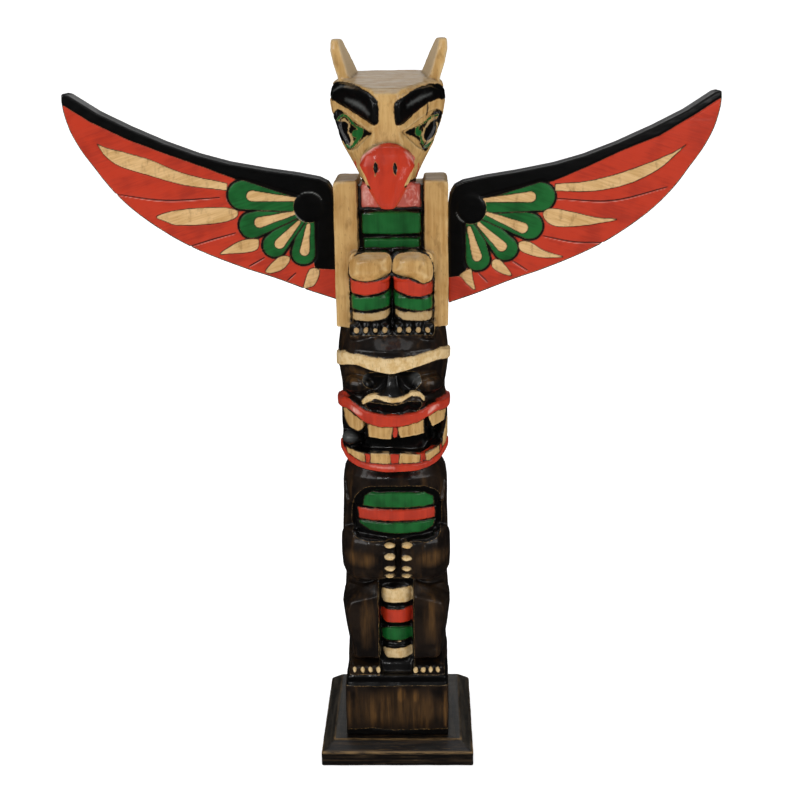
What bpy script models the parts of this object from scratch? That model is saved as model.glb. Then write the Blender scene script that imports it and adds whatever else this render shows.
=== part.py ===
"""A carved and painted wooden totem pole: a winged eagle above a bear, on a square plate.

Metres, +Z up. The pole faces -Y and the origin is under the middle of the plate.
The carving is drawn in millimetres on a log of the drawn size, and place() puts each drawn
point on the real log, so the figures keep their proportions when the log changes.
"""

import math

import bmesh
import bpy
from mathutils import Matrix, Vector

MM = 0.001
GAP = 0.3 * MM

# The square plate: an upright edge with a sloped rim above it, widest in front and steep behind
PLATE_SIDE = 107.5 * MM
PLATE_EDGE = 11.0 * MM
PLATE_SLOPE_RISE = 4.2 * MM
PLATE_FRONT_SLOPE = 11.0 * MM
PLATE_SIDE_SLOPE = 8.6 * MM
PLATE_BACK_SLOPE = 1.8 * MM
PLATE_ROUNDING = 0.8 * MM

# The log: its plain block at the foot, then the carved figures
BLOCK_WIDTH = 73.0 * MM
BLOCK_DEPTH = 77.0 * MM
BLOCK_HEIGHT = 40.3 * MM
BLOCK_ROUNDING = 1.2 * MM
LOG_WIDTH = 75.0 * MM
LOG_DEPTH = 72.0 * MM
FIGURES_HEIGHT = 419.2 * MM

# The two wing boards
WING_REACH = 177.2 * MM
WING_HEIGHT = 138.8 * MM
WING_THICKNESS = 16.0 * MM
WING_ROUNDING = 1.0 * MM

PLATE_TOP = PLATE_EDGE + PLATE_SLOPE_RISE
BLOCK_FOOT = PLATE_TOP + GAP
BLOCK_TOP = BLOCK_FOOT + BLOCK_HEIGHT

# The drawing's millimetres: the lowest and the highest corner of the log as it is drawn
DRAWN_LOG = ((-37.5, -36.0, 55.8), (37.5, 36.0, 475.0))

# Drawn sizes that several of the carved forms share
BOARD_OUTSIDE = 37.6
BOARD_FRONT = -12.0
BOARD_BACK = 33.0
WING_FRONT = 5.0
LEFT_WING_FOOT = 324.7
RIGHT_WING_FOOT = 321.7
HEAD_SHIFT = -1.2
# How square a slice of the log is: 2 is an ellipse, and more is squarer
FRONT_ROUNDNESS = 2.2
BACK_ROUNDNESS = 3.2
LEG_ROUNDNESS = 3.4

# The share of the joined carving's facets that is kept: the smallest ones go
FACETS_KEPT = 0.58

CREAM = (0.58, 0.38, 0.15)
BROWN = (0.045, 0.026, 0.014)
RED = (0.56, 0.05, 0.02)


def place(x, y, z):
    """The point of the real log that belongs to a drawn point."""
    across, along, up = ((value - low) / (high - low) for value, low, high in zip((x, y, z), *DRAWN_LOG))
    return Vector((
        (across - 0.5) * LOG_WIDTH,
        (along - 0.5) * LOG_DEPTH,
        BLOCK_TOP + up * FIGURES_HEIGHT,
    ))


def new_collection(name, hidden=False):
    collection = bpy.data.collections.new(name)
    bpy.context.scene.collection.children.link(collection)
    collection.hide_render = hidden
    return collection


def new_object(name, mesh, collection):
    obj = bpy.data.objects.new(name, mesh)
    collection.objects.link(obj)
    if collection.hide_render:
        obj.hide_render = True
        obj.display_type = "WIRE"
    return obj


def object_from_bmesh(name, built, collection):
    bmesh.ops.recalc_face_normals(built, faces=built.faces)
    mesh = bpy.data.meshes.new(name)
    built.to_mesh(mesh)
    built.free()
    return new_object(name, mesh, collection)


def round_edges(obj, width, segments=1, angle=30):
    bevel = obj.modifiers.new("round", "BEVEL")
    bevel.width = width
    bevel.segments = segments
    bevel.limit_method = "ANGLE"
    bevel.angle_limit = math.radians(angle)
    return obj


def box(name, collection, low, high):
    """A block between two corners."""
    built = bmesh.new()
    bmesh.ops.create_cube(built, size=1.0)
    middle = (Vector(low) + Vector(high)) / 2
    size = Vector(high) - Vector(low)
    for vertex in built.verts:
        vertex.co = middle + Vector(a * b for a, b in zip(vertex.co, size))
    return object_from_bmesh(name, built, collection)


def carved_box(name, collection, low, high, rounding=1.2, segments=2):
    """A rounded block on the log, from two drawn corners."""
    obj = box(name, collection, place(*low), place(*high))
    return round_edges(obj, rounding * MM, segments)


def blob(name, collection, centre, radii, turn=0.0, segments=12, rings=7):
    """An egg on the log. Turn is in degrees about the upright axis through its centre."""
    built = bmesh.new()
    bmesh.ops.create_uvsphere(built, u_segments=segments, v_segments=rings, radius=1.0)
    turned = Matrix.Rotation(math.radians(turn), 3, "Z")
    for vertex in built.verts:
        local = turned @ Vector(a * b for a, b in zip(vertex.co, radii))
        vertex.co = place(*(Vector(centre) + local))
    return object_from_bmesh(name, built, collection)


def loft(name, collection, rings):
    """A closed form through rings of drawn points, which all have as many points."""
    built = bmesh.new()
    rows = [[built.verts.new(place(*point)) for point in ring] for ring in rings]
    count = len(rings[0])
    for lower, upper in zip(rows, rows[1:]):
        for i in range(count):
            j = (i + 1) % count
            built.faces.new((lower[i], lower[j], upper[j], upper[i]))
    built.faces.new(rows[0])
    built.faces.new(rows[-1])
    return object_from_bmesh(name, built, collection)


def log_ring(z, half_width, front, back, points=32, roundness=FRONT_ROUNDNESS):
    """A slice of the log: a full round in front, and a flatter back."""
    ring = []
    for i in range(points):
        angle = math.tau * (i + 0.5) / points
        across, along = math.cos(angle), math.sin(angle)
        power = 2 / roundness if along < 0 else 2 / BACK_ROUNDNESS
        reach = front if along < 0 else back
        x = half_width * math.copysign(abs(across) ** power, across)
        y = reach * math.copysign(abs(along) ** power, along)
        ring.append((x, y, z))
    return ring


def between(knots, x):
    """The values at x on the straight lines between knots, which start with their x."""
    if x <= knots[0][0]:
        return knots[0][1:]
    for one, other in zip(knots, knots[1:]):
        if x <= other[0]:
            share = (x - one[0]) / (other[0] - one[0])
            return tuple(a + share * (b - a) for a, b in zip(one[1:], other[1:]))
    return knots[-1][1:]


def log_point(angle, half_width, front, raised):
    """Where a line at this angle from straight ahead leaves the log's front, raised or sunk."""
    across, ahead = math.sin(angle), math.cos(angle)
    power = 2 / FRONT_ROUNDNESS
    x = half_width * math.copysign(abs(across) ** power, across)
    y = -front * math.copysign(abs(ahead) ** power, ahead)
    return x + raised * across, y - raised * ahead


def wrapped_band(name, collection, knots, log, raised, sunk=4.0, span=(-84, 84), steps=20, soft=0.9):
    """A band laid round the log's front, between its lower and upper edge.

    Knots are (x, lower z, upper z). Log is the half width and front of the log there. The band
    stands out by raised and goes in by sunk, and soft takes the corner off its outer edges.
    """
    rings = []
    for step in range(steps + 1):
        angle = math.radians(span[0] + (span[1] - span[0]) * step / steps)
        outer_x, outer_y = log_point(angle, *log, raised)
        lip_x, lip_y = log_point(angle, *log, raised - soft)
        inner_x, inner_y = log_point(angle, *log, -sunk)
        low, high = between(knots, outer_x)
        rings.append([
            (inner_x, inner_y, low),
            (lip_x, lip_y, low),
            (outer_x, outer_y, low + soft),
            (outer_x, outer_y, high - soft),
            (lip_x, lip_y, high),
            (inner_x, inner_y, high),
        ])
    return loft(name, collection, rings)


def tooth(name, collection, left, right, corners, log, raised):
    """A flat-ended tooth between two angles. Corners are low and high z at the left and right."""
    left_x = log_point(math.radians(left), *log, raised)[0]
    right_x = log_point(math.radians(right), *log, raised)[0]
    knots = [(left_x, *corners[0]), (right_x, *corners[1])]
    return wrapped_band(name, collection, knots, log, raised, 5.0, (left, right), 3, 0.6)


def outline_slab(name, collection, outline, thickness, matrix):
    """A flat outline in its own XY plane, as thick as given about that plane, set by a matrix."""
    curve = bpy.data.curves.new(name, "CURVE")
    curve.dimensions = "2D"
    curve.fill_mode = "BOTH"
    curve.extrude = thickness / 2
    spline = curve.splines.new("POLY")
    spline.points.add(len(outline) - 1)
    for point, (x, y) in zip(spline.points, outline):
        point.co = (x, y, 0.0, 1.0)
    spline.use_cyclic_u = True
    holder = bpy.data.objects.new(name + "_outline", curve)
    bpy.context.scene.collection.objects.link(holder)
    bpy.context.view_layer.update()
    mesh = bpy.data.meshes.new_from_object(holder.evaluated_get(bpy.context.evaluated_depsgraph_get()))
    bpy.data.objects.remove(holder)
    bpy.data.curves.remove(curve)
    mesh.materials.clear()
    built = bmesh.new()
    built.from_mesh(mesh)
    bpy.data.meshes.remove(mesh)
    bmesh.ops.remove_doubles(built, verts=built.verts, dist=1e-6)
    bmesh.ops.transform(built, matrix=matrix, verts=built.verts)
    return object_from_bmesh(name, built, collection)


def front_slab(name, collection, outline, front, back):
    """A drawn outline seen from the front, cut through the log from front to back."""
    edge = [place(x, 0.0, z) for x, z in outline]
    near, far = place(0, front, 0).y, place(0, back, 0).y
    upright = Matrix.Translation((0.0, (near + far) / 2, 0.0)) @ Matrix.Rotation(math.pi / 2, 4, "X")
    return outline_slab(name, collection, [(p.x, p.z) for p in edge], far - near, upright)


def mirrored(points):
    return [(-x, *rest) for x, *rest in points]


def paint(obj, name, colour, roughness=0.35):
    material = bpy.data.materials.new(name)
    material.use_nodes = True
    shader = material.node_tree.nodes["Principled BSDF"]
    shader.inputs["Base Color"].default_value = (*colour, 1.0)
    shader.inputs["Roughness"].default_value = roughness
    shader.inputs["Metallic"].default_value = 0.0
    obj.data.materials.clear()
    obj.data.materials.append(material)


def carve(obj, name, operation, collection):
    """Joins or cuts with all of a collection, whose bent four-sided faces are split first."""
    for form in collection.objects:
        form.modifiers.new("split_faces", "TRIANGULATE")
    boolean = obj.modifiers.new(name, "BOOLEAN")
    boolean.operation = operation
    boolean.operand_type = "COLLECTION"
    boolean.collection = collection
    boolean.solver = "EXACT"


# The bear's body, drawn as (height, half width, front, back) slices
BODY_SLICES = (
    (54.0, 36.2, 34.0, 36.0),
    (60.0, 36.1, 33.0, 35.4),
    (66.0, 35.9, 26.0, 34.4),
    (76.0, 35.2, 21.6, 33.8),
    (83.0, 34.2, 20.6, 33.5),
    (92.0, 35.6, 20.5, 33.6),
    (110.0, 37.4, 21.0, 34.0),
    (128.0, 36.2, 22.0, 34.0),
    (136.0, 35.2, 24.0, 34.0),
    (150.0, 36.4, 26.0, 34.0),
    (165.0, 36.2, 26.0, 34.0),
    (182.0, 36.6, 26.8, 34.0),
    (198.0, 36.6, 27.4, 34.0),
    (206.0, 35.6, 26.6, 33.6),
    (213.0, 31.0, 22.0, 32.0),
)
BODY = (36.5, 27.0)

# The bear's head: jaws, the hollow under the brow, the brow and the sloping top
HEAD_SLICES = (
    (212.0, 24.0, 29.0, 31.0),
    (215.0, 30.0, 34.0, 32.5),
    (220.0, 33.8, 35.6, 33.5),
    (227.0, 36.2, 36.0, 34.0),
    (240.0, 37.2, 36.0, 34.0),
    (253.0, 37.2, 36.0, 34.0),
    (258.0, 36.6, 34.0, 34.0),
    (263.0, 35.2, 29.5, 34.0),
    (270.0, 35.4, 26.0, 34.0),
    (279.0, 36.8, 26.0, 34.0),
    (284.0, 37.4, 29.5, 34.0),
    (293.0, 37.6, 31.0, 34.0),
    (297.0, 37.2, 30.8, 33.8),
    (303.0, 36.4, 24.0, 33.4),
    (309.0, 35.6, 18.0, 33.0),
)
JAW = (37.2, 36.0)

UPPER_LIP = (
    (-37.5, 254.0, 261.0),
    (-32.6, 256.0, 264.6),
    (-28.9, 255.2, 263.4),
    (-24.4, 252.4, 260.8),
    (-18.9, 248.6, 258.4),
    (-8.0, 246.5, 255.8),
    (4.0, 246.6, 255.4),
    (16.0, 249.0, 257.0),
    (24.0, 252.0, 259.7),
    (30.0, 254.3, 261.8),
    (37.5, 252.8, 260.2),
)
LOWER_LIP = (
    (-36.5, 222.0, 229.0),
    (-31.0, 217.6, 223.5),
    (-21.3, 215.6, 220.6),
    (-8.8, 214.6, 220.6),
    (1.0, 214.4, 221.0),
    (15.7, 214.8, 220.4),
    (23.8, 215.8, 220.8),
    (31.5, 218.2, 224.0),
    (36.5, 223.0, 230.0),
)
MOUTH = (
    (-37.5, 231.0, 257.0),
    (-31.0, 226.5, 255.0),
    (-19.0, 227.8, 249.5),
    (0.0, 228.4, 247.5),
    (19.0, 226.6, 250.0),
    (31.0, 226.0, 254.0),
    (37.5, 231.0, 256.0),
)
BROW = (
    (-38.5, 282.0, 291.4),
    (-32.4, 285.4, 295.0),
    (-24.0, 287.0, 294.8),
    (-11.8, 283.1, 293.6),
    (1.0, 281.6, 292.9),
    (16.4, 285.8, 294.6),
    (28.5, 288.6, 296.6),
    (33.0, 288.4, 297.0),
    (38.5, 286.4, 293.6),
)
NOSE_RIM = (
    (-20.5, 260.5, 264.4),
    (-17.5, 263.4, 268.6),
    (-12.0, 266.4, 270.2),
    (-6.0, 264.6, 268.2),
    (0.0, 263.2, 266.8),
    (6.5, 264.2, 267.8),
    (13.0, 267.8, 271.4),
    (18.5, 266.6, 271.0),
    (21.5, 262.6, 267.0),
)

# The belly panel's three painted bands, over a sunk field
PANEL_BANDS = (
    ((-25.4, 168.0, 174.6), (-21.5, 166.2, 174.6), (22.5, 165.6, 174.2), (27.8, 168.5, 174.2)),
    ((-25.6, 175.8, 184.2), (27.8, 175.4, 183.6)),
    ((-24.6, 185.4, 188.0), (-19.6, 185.4, 195.2), (2.0, 185.4, 196.8), (21.0, 184.8, 195.4),
     (27.6, 184.8, 189.0)),
)
PANEL_FIELD = (
    (-28.0, 168.0, 186.0),
    (-24.0, 163.8, 194.0),
    (-17.0, 163.6, 199.0),
    (2.0, 163.8, 199.6),
    (20.0, 163.2, 198.6),
    (27.5, 163.6, 193.0),
    (30.2, 168.0, 186.0),
)


def build_bear_body(forms, cuts, details):
    """The squatting bear below the chin: trunk, legs, feet, arms, hands and belly."""
    loft("bear_trunk", forms, [log_ring(*row) for row in BODY_SLICES])
    carved_box("foot_step", forms, (-35.2, -36.4, 54.0), (35.2, 4.0, 61.6), 1.4)
    for side in (-1, 1):
        build_leg(side, forms, details)
        build_arm(side, forms, cuts, details)
    # The painted apron between the legs: four rounded patches on a dark round bar
    apron = []
    for z in (57.0, 126.5):
        apron.append([(x * 0.93, y * 0.93 - 16.0, z) for x, y, _ in log_ring(z, 11.4, 9.0, 4.0, 16)])
    loft("apron_bar", forms, apron)
    for low, high in ((69.6, 80.0), (83.6, 93.8), (97.4, 109.0), (112.6, 125.2)):
        patch = [[(x, y - 16.0, z) for x, y, _ in log_ring(z, 11.6, 10.4, 4.0, 16)] for z in (low, high)]
        loft("apron_patch", forms, patch)
    wrapped_band("belly_field", cuts, PANEL_FIELD, BODY, 6.0, 1.4, (-58, 62), 12)
    for knots in PANEL_BANDS:
        wrapped_band("belly_band", details, knots, BODY, 0.5, 4.0, (-47, 51), 10, 0.5)


# A leg's slices: height, inner x, outer x at the front, outer x at the side, and front
LEG_SLICES = (
    (73.5, 11.4, 30.0, 33.8, -32.6),
    (82.0, 11.4, 31.0, 34.4, -32.2),
    (97.0, 11.4, 33.6, 36.6, -31.6),
    (110.0, 11.6, 35.0, 38.2, -31.4),
    (120.0, 11.8, 33.6, 37.6, -30.6),
    (129.0, 12.0, 26.0, 34.0, -22.4),
)


def build_leg(side, forms, details):
    rings = []
    for z, inner, outer, flank, front in LEG_SLICES:
        # The knee's top falls away outwards, so its outer corner is lower and further back
        drop = 5.0 if z > 115.0 else 0.0
        rings.append([
            (side * inner, -12.0, z),
            (side * inner, front + 2.0, z),
            (side * (inner + 1.6), front, z),
            (side * (outer - 2.0), front + 0.6, z - drop),
            (side * outer, front + 3.2, z - drop),
            (side * flank, -14.0, z - drop),
            (side * flank, -2.0, z - drop),
        ])
    loft("leg", forms, rings)
    carved_box("foot", forms, *ordered(side, (11.0, -34.8, 60.0), (33.4, -12.0, 68.6)), 1.6)
    for toe in range(4):
        x = side * (12.6 + 5.6 * toe)
        blob("toe", details, (x, -35.0, 65.6), (1.9, 1.6, 3.0), segments=6, rings=4)


def ordered(side, low, high):
    """Two drawn corners on the left or right side, the lower x first."""
    left, right = sorted((side * low[0], side * high[0]))
    return (left, low[1], low[2]), (right, high[1], high[2])


# The forearm lies across the belly: x, front, lowest and highest z of its rounded bar
FOREARM = (
    (38.4, -8.0, 140.0, 158.0),
    (37.6, -16.0, 136.0, 162.0),
    (34.6, -24.5, 133.6, 164.0),
    (29.0, -30.4, 132.4, 164.6),
    (20.0, -33.4, 132.0, 164.4),
    (10.0, -34.2, 133.0, 163.4),
    (2.2, -33.0, 135.0, 161.6),
)
# The upper arm's flat ridge: height, inner x, outer x, front
UPPER_ARM = (
    (150.0, 23.6, 37.2, -28.6),
    (166.0, 26.6, 36.6, -25.0),
    (184.0, 31.0, 36.2, -19.0),
    (201.0, 33.6, 35.6, -11.0),
)
HAND_MIDDLE = 2.2


def build_arm(side, forms, cuts, details):
    rings = []
    for z, inner, outer, front in UPPER_ARM:
        rings.append([
            (side * inner, -10.0, z),
            (side * inner, front + 1.6, z),
            (side * (inner + 2.2), front, z),
            (side * (outer - 2.4), front + 5.0, z),
            (side * outer, front + 9.0, z),
            (side * outer, 2.0, z),
        ])
    loft("upper_arm", forms, rings)
    rings = []
    for x, front, low, high in FOREARM:
        middle, half = (low + high) / 2, (high - low) / 2
        shift = HAND_MIDDLE * (1 - x / FOREARM[0][0])
        ring = [(side * x + shift, 2.0, low + 3.0)]
        for turn in (-80, -50, -20, 20, 50, 80):
            rise, ahead = math.sin(math.radians(turn)), math.cos(math.radians(turn))
            ring.append((side * x + shift, front + 6.0 * (1 - ahead), middle + half * rise))
        ring.append((side * x + shift, 2.0, high - 3.0))
        rings.append(ring)
    loft("forearm", forms, rings)
    for z in (155.4, 146.6, 139.4):
        low, high = ordered(side, (-1.0, -40.0, z - 0.7), (13.0, -32.6, z + 0.7))
        carved_box("finger_line", cuts, low, high, 0.3, 1)
    for z, height in ((159.8, 2.2), (151.0, 2.4), (143.0, 2.2), (137.2, 1.0)):
        centre = (side * 4.6 + HAND_MIDDLE, -31.4, z)
        blob("finger_claw", details, centre, (3.7, 4.0, height), segments=8, rings=5)


def build_bear_head(forms, cuts, details):
    """The bear's face, from the lower lip to the sloping top of its head."""
    loft("bear_skull", forms, [log_ring(*row) for row in HEAD_SLICES])
    wrapped_band("brow_band", forms, BROW, (37.4, 31.0), 1.6, 6.0, (-92, 92), 18)
    for side in (-1, 1):
        blob("eyeball", forms, (side * 23.5, -20.0, 272.6), (12.0, 8.4, 6.6), side * 32, 12, 6)
        blob("nostril_wing", forms, (side * 14.0 + 1.0, -28.6, 263.4), (7.6, 8.4, 6.4), 0, 10, 6)
        blob("nostril", cuts, (side * 13.6 + 1.0, -38.2, 261.6), (4.8, 4.6, 2.6), 0, 8, 5)
    nose = (
        (280.0, 4.6, -27.6),
        (273.0, 6.6, -31.4),
        (268.0, 12.0, -35.2),
        (262.0, 14.0, -36.0),
        (257.0, 12.0, -34.6),
    )
    rings = []
    for z, half, front in nose:
        right = [(half * 0.55, front, z), (half, front + 4.0, z), (half, -16.0, z)]
        rings.append(mirrored(reversed(right)) + right)
    loft("nose", forms, rings)
    wrapped_band("nose_rim", details, NOSE_RIM, (37.2, 36.2), 0.8, 6.0, (-33, 36), 14, 0.5)
    wrapped_band("mouth_hollow", cuts, MOUTH, JAW, 6.0, 10.0, (-100, 100), 18)
    wrapped_band("upper_lip", details, UPPER_LIP, JAW, 1.7, 5.0, (-96, 96), 22, 1.2)
    wrapped_band("lower_lip", details, LOWER_LIP, (36.0, 36.0), 1.6, 4.0, (-88, 88), 20, 1.2)
    upper = (
        (-70, -31, ((241.8, 258.0), (240.6, 251.0))),
        (-28, -1, ((238.4, 250.0), (237.6, 248.0))),
        (4, 34, ((238.2, 248.0), (240.4, 251.0))),
        (38, 74, ((243.4, 254.0), (245.4, 258.0))),
    )
    for left, right, corners in upper:
        tooth("upper_tooth", details, left, right, corners, JAW, 0.4)
    lower = (
        (-62, -31, ((222.0, 228.6), (219.6, 227.4))),
        (-26, -5, ((219.0, 228.2), (219.6, 228.8))),
        (6, 30, ((219.6, 228.8), (219.0, 226.6))),
        (35, 62, ((219.6, 226.4), (221.6, 230.0))),
        (66, 90, ((226.0, 236.0), (231.0, 244.0))),
    )
    for left, right, corners in lower:
        tooth("lower_tooth", details, left, right, corners, (36.6, 36.0), 0.4)
    blob("cheek_lobe", details, (-27.5, -19.0, 234.6), (8.0, 8.0, 5.2), -40, 12, 7)


# The eagle's side boards: the outline of the left one from the front
SIDE_BOARD = (
    (-37.4, 309.2), (-28.4, 309.2), (-28.4, 349.0), (-27.6, 354.0), (-25.0, 359.0),
    (-21.6, 362.4), (-21.6, 407.0), (-36.0, 407.0), (-BOARD_OUTSIDE, 405.4),
)
TORSO_SLICES = (
    (303.0, 35.8, 22.0, 33.0),
    (309.0, 35.6, 14.0, 33.0),
    (330.0, 36.0, 9.0, 32.6),
    (360.0, 36.0, 6.0, 32.4),
    (403.0, 36.0, 6.0, 32.4),
)


def build_eagle_body(forms, cuts, details):
    """The eagle's chest between its side boards, its two legs and its claws."""
    loft("eagle_torso", forms, [log_ring(*row, points=24) for row in TORSO_SLICES])
    for flip in (1, -1):
        outline = [(flip * x, z) for x, z in SIDE_BOARD]
        round_edges(front_slab("side_board", forms, outline, BOARD_FRONT, BOARD_BACK), 1.0 * MM)
    carved_box("throat", details, (-19.6, -8.2, 389.0), (19.8, -1.0, 404.6), 1.0)
    carved_box("chest_upper_band", details, (-19.4, -9.0, 371.2), (20.0, -1.0, 386.6), 1.4)
    carved_box("chest_lower_band", details, (-18.2, -9.4, 359.6), (19.0, -1.0, 368.8), 1.2)
    for side in (-1, 1):
        build_eagle_leg(side, forms, cuts, details)


def build_eagle_leg(side, forms, cuts, details):
    middle = side * 14.2
    core = [[(middle + x, y - 8.2, z) for x, y, _ in log_ring(z, 12.6, 10.4, 8.0, 18, LEG_ROUNDNESS)]
            for z in (303.0, 350.0)]
    loft("eagle_leg", forms, core)
    for low, high, front in ((315.0, 321.4, 12.4), (322.6, 332.0, 12.2), (333.2, 343.0, 12.6)):
        band = [[(middle + x, y - 8.2, z)
                 for x, y, _ in log_ring(z, 13.4 - inset, front - inset, 8.0, 18, LEG_ROUNDNESS)]
                for z, inset in ((low, 0.5), (low + 0.5, 0.0), (high - 0.5, 0.0), (high, 0.5))]
        loft("leg_band", forms, band)
    thigh = ordered(side, (-0.4, -23.6, 342.0), (27.6, -2.0, 361.6))
    carved_box("thigh", forms, *thigh, 4.6, 3)
    carved_box("eagle_foot", forms, *ordered(side, (1.2, -21.0, 303.0), (28.4, -4.0, 314.0)), 1.6)
    for toe in range(4):
        x = side * (4.8 + 6.3 * toe)
        blob("eagle_claw", details, (x, -21.4, 309.6), (1.7, 1.6, 2.0), segments=6, rings=4)
        if toe < 3:
            notch = side * (4.8 + 6.3 * (toe + 0.5))
            cut_notch(notch, cuts)


def cut_notch(x, cuts):
    """The V-shaped notch between two toes."""
    front_slab("toe_notch", cuts, [(x - 1.6, 314.6), (x, 303.6), (x + 1.6, 314.6)], -26.0, -19.0)


# The eagle's head: height, half width of the ridge, its front, side x and y, back x and y
HEAD_RINGS = (
    (402.0, 9.0, -15.0, 17.0, -2.0, 15.0, 18.0),
    (411.0, 11.0, -21.0, 19.6, -4.0, 17.0, 20.0),
    (419.0, 13.0, -26.0, 23.4, -6.0, 20.0, 21.0),
    (430.0, 11.0, -31.4, 29.4, -8.0, 25.0, 22.0),
    (440.0, 7.4, -33.0, 33.4, -4.6, 28.4, 22.0),
    (449.0, 5.6, -34.0, 36.0, -2.4, 30.4, 22.0),
    (458.0, 5.6, -34.8, 37.6, 0.0, 31.6, 22.0),
    (463.0, 7.4, -33.4, 37.0, 0.0, 31.2, 22.0),
)
# The crown slopes down to the front, so its rings tilt: side and back stand higher
CROWN_RINGS = (
    (466.0, 10.0, -29.6, 35.4, 0.0, 30.4, 21.6, 3.0, 6.0),
    (466.8, 9.0, -26.0, 31.0, 0.6, 28.0, 20.0, 5.0, 8.6),
)
BEAK_RINGS = (
    (432.4, 3.0, 5.0, -33.6, -24.0),
    (430.6, 8.4, 10.4, -36.4, -22.0),
    (426.0, 12.8, 15.2, -38.6, -19.0),
    (419.4, 15.0, 17.6, -40.4, -16.0),
    (411.0, 12.0, 14.8, -41.6, -13.0),
    (402.0, 8.2, 10.6, -42.4, -13.0),
    (396.0, 5.6, 7.2, -42.8, -20.0),
    (392.6, 3.8, 4.6, -42.2, -29.0),
)
# The brow and lid on the left side plane: distance along the plane from the ridge, and height
BROW_PLATE = ((0.4, 457.0), (1.0, 443.4), (8.0, 439.6), (19.0, 444.4), (32.0, 450.4), (43.0, 452.6),
              (45.4, 457.4), (42.0, 463.4), (31.0, 466.8), (15.0, 465.4), (4.0, 461.8))
BROW_RIDGE = ((0.8, 457.4), (1.2, 445.2), (2.6, 444.4), (16.6, 450.2), (31.0, 456.0), (42.4, 457.6),
              (41.4, 463.0), (31.0, 466.0), (15.0, 464.6), (4.6, 461.4))
EYE_SOCKET = ((5.6, 439.4), (18.0, 444.8), (31.0, 451.0), (40.0, 452.2), (37.4, 441.0), (27.6, 426.6),
              (20.0, 429.0), (12.0, 435.0))
PLANE_START = (-5.2, -34.8)
PLANE_END = (-37.6, 0.0)


def side_plane(side):
    """The frame of the head's swept side: X along it from the ridge, Y up, Z outwards."""
    start = place(side * -PLANE_START[0] + HEAD_SHIFT, PLANE_START[1], 0.0)
    end = place(side * -PLANE_END[0] + HEAD_SHIFT, PLANE_END[1], 0.0)
    along = (end - start).normalized()
    outward = Vector((along.y, -along.x, 0.0)) * side
    frame = Matrix.Identity(4)
    frame.col[0][:3] = along
    frame.col[1][:3] = (0.0, 0.0, 1.0)
    frame.col[2][:3] = outward
    frame.translation = (start.x, start.y, 0.0)
    return frame


def plane_slab(name, collection, outline, side, raised, sunk):
    """An outline on the head's side plane, standing out by raised and going in by sunk."""
    points = [(place(s, 0, z).x, place(s, 0, z).z) for s, z in outline]
    lift = Matrix.Translation((0.0, 0.0, (raised - sunk) / 2 * MM))
    return outline_slab(name, collection, points, (raised + sunk) * MM, side_plane(side) @ lift)


def build_eagle_head(forms, cuts, details):
    """The wedge-shaped head with its brows, eyes, beak and two upright feather tufts."""
    rings = []
    for row in HEAD_RINGS + CROWN_RINGS:
        z, ridge, front, side_x, side_y, back_x, back_y = row[:7]
        side_rise, back_rise = row[7:] if len(row) > 7 else (0.0, 0.0)
        right = [(ridge, front, z), (side_x - 1.6, side_y - 3.0, z + side_rise * 0.8),
                 (side_x, side_y + 1.0, z + side_rise), (back_x, back_y - 5.0, z + back_rise * 0.9),
                 (back_x - 6.0, back_y, z + back_rise)]
        ring = right + mirrored(reversed(right))
        rings.append([(x + HEAD_SHIFT, y, height) for x, y, height in ring])
    loft("eagle_skull", forms, rings)
    beak = []
    for z, front_half, side_half, front, back in BEAK_RINGS:
        right = [(front_half * 0.55, front, z), (front_half, front + 1.2, z),
                 (side_half, front + 4.6, z), (side_half * 0.94, back, z)]
        beak.append([(x + HEAD_SHIFT, y, h) for x, y, h in right + mirrored(reversed(right))])
    loft("beak", forms, beak)
    for side in (-1, 1):
        plane_slab("eye_socket", cuts, EYE_SOCKET, side, 8.0, 1.2)
        round_edges(plane_slab("brow_plate", forms, BROW_PLATE, side, 1.6, 6.0), 0.9 * MM)
        round_edges(plane_slab("brow_ridge", details, BROW_RIDGE, side, 2.5, 6.0), 0.6 * MM)
        blob("eye", details, (side * 26.4 + HEAD_SHIFT, -7.6, 439.6), (9.0, 2.6, 8.0), side * 47, 12, 7)
        nostril = (side * 5.8 + HEAD_SHIFT, -41.6, 418.4)
        blob("beak_nostril", cuts, nostril, (1.4, 2.4, 3.3), 0, 8, 5)
        build_tuft(side, forms)


# A feather tuft above the head: height, then inner and outer x and y at its front and back
TUFT_RINGS = (
    (462.0, 24.0, 31.0, -3.0, 18.0, 27.6, 17.0),
    (472.0, 25.6, 33.4, -3.0, 19.2, 29.4, 16.0),
    (481.0, 28.6, 36.4, -2.4, 23.0, 32.4, 13.6),
    (489.0, 31.0, 38.0, -1.6, 26.8, 35.0, 11.0),
    (495.8, 32.4, 37.6, 0.4, 29.8, 35.8, 8.0),
)


def build_tuft(side, forms):
    rings = []
    for z, front_in, front_out, front, back_in, back_out, back in TUFT_RINGS:
        rings.append([(side * front_in, front, z), (side * front_out, front, z),
                      (side * back_out, back, z), (side * back_in, back, z)])
    round_edges(loft("tuft", forms, rings), 1.1 * MM, 2)


# The wing board from the front: distance from its root, and height above its foot
WING_TOP = ((0.0, 66.0), (1.2, 74.0), (4.3, 79.0), (10.0, 81.9), (25.0, 84.9), (45.0, 87.9), (70.0, 92.6),
            (90.0, 98.1), (112.0, 106.3), (135.0, 116.5), (155.0, 126.5), (168.0, 134.9), (173.0, 138.1),
            (176.6, 138.8))
WING_BOTTOM = ((177.2, 136.4), (176.6, 128.0), (173.4, 115.4), (167.4, 103.0), (159.0, 90.6),
               (148.0, 75.6), (133.0, 60.6), (112.0, 45.4), (91.0, 34.0), (64.5, 23.1), (42.0, 15.4),
               (20.0, 6.9), (0.0, 0.0))


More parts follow.
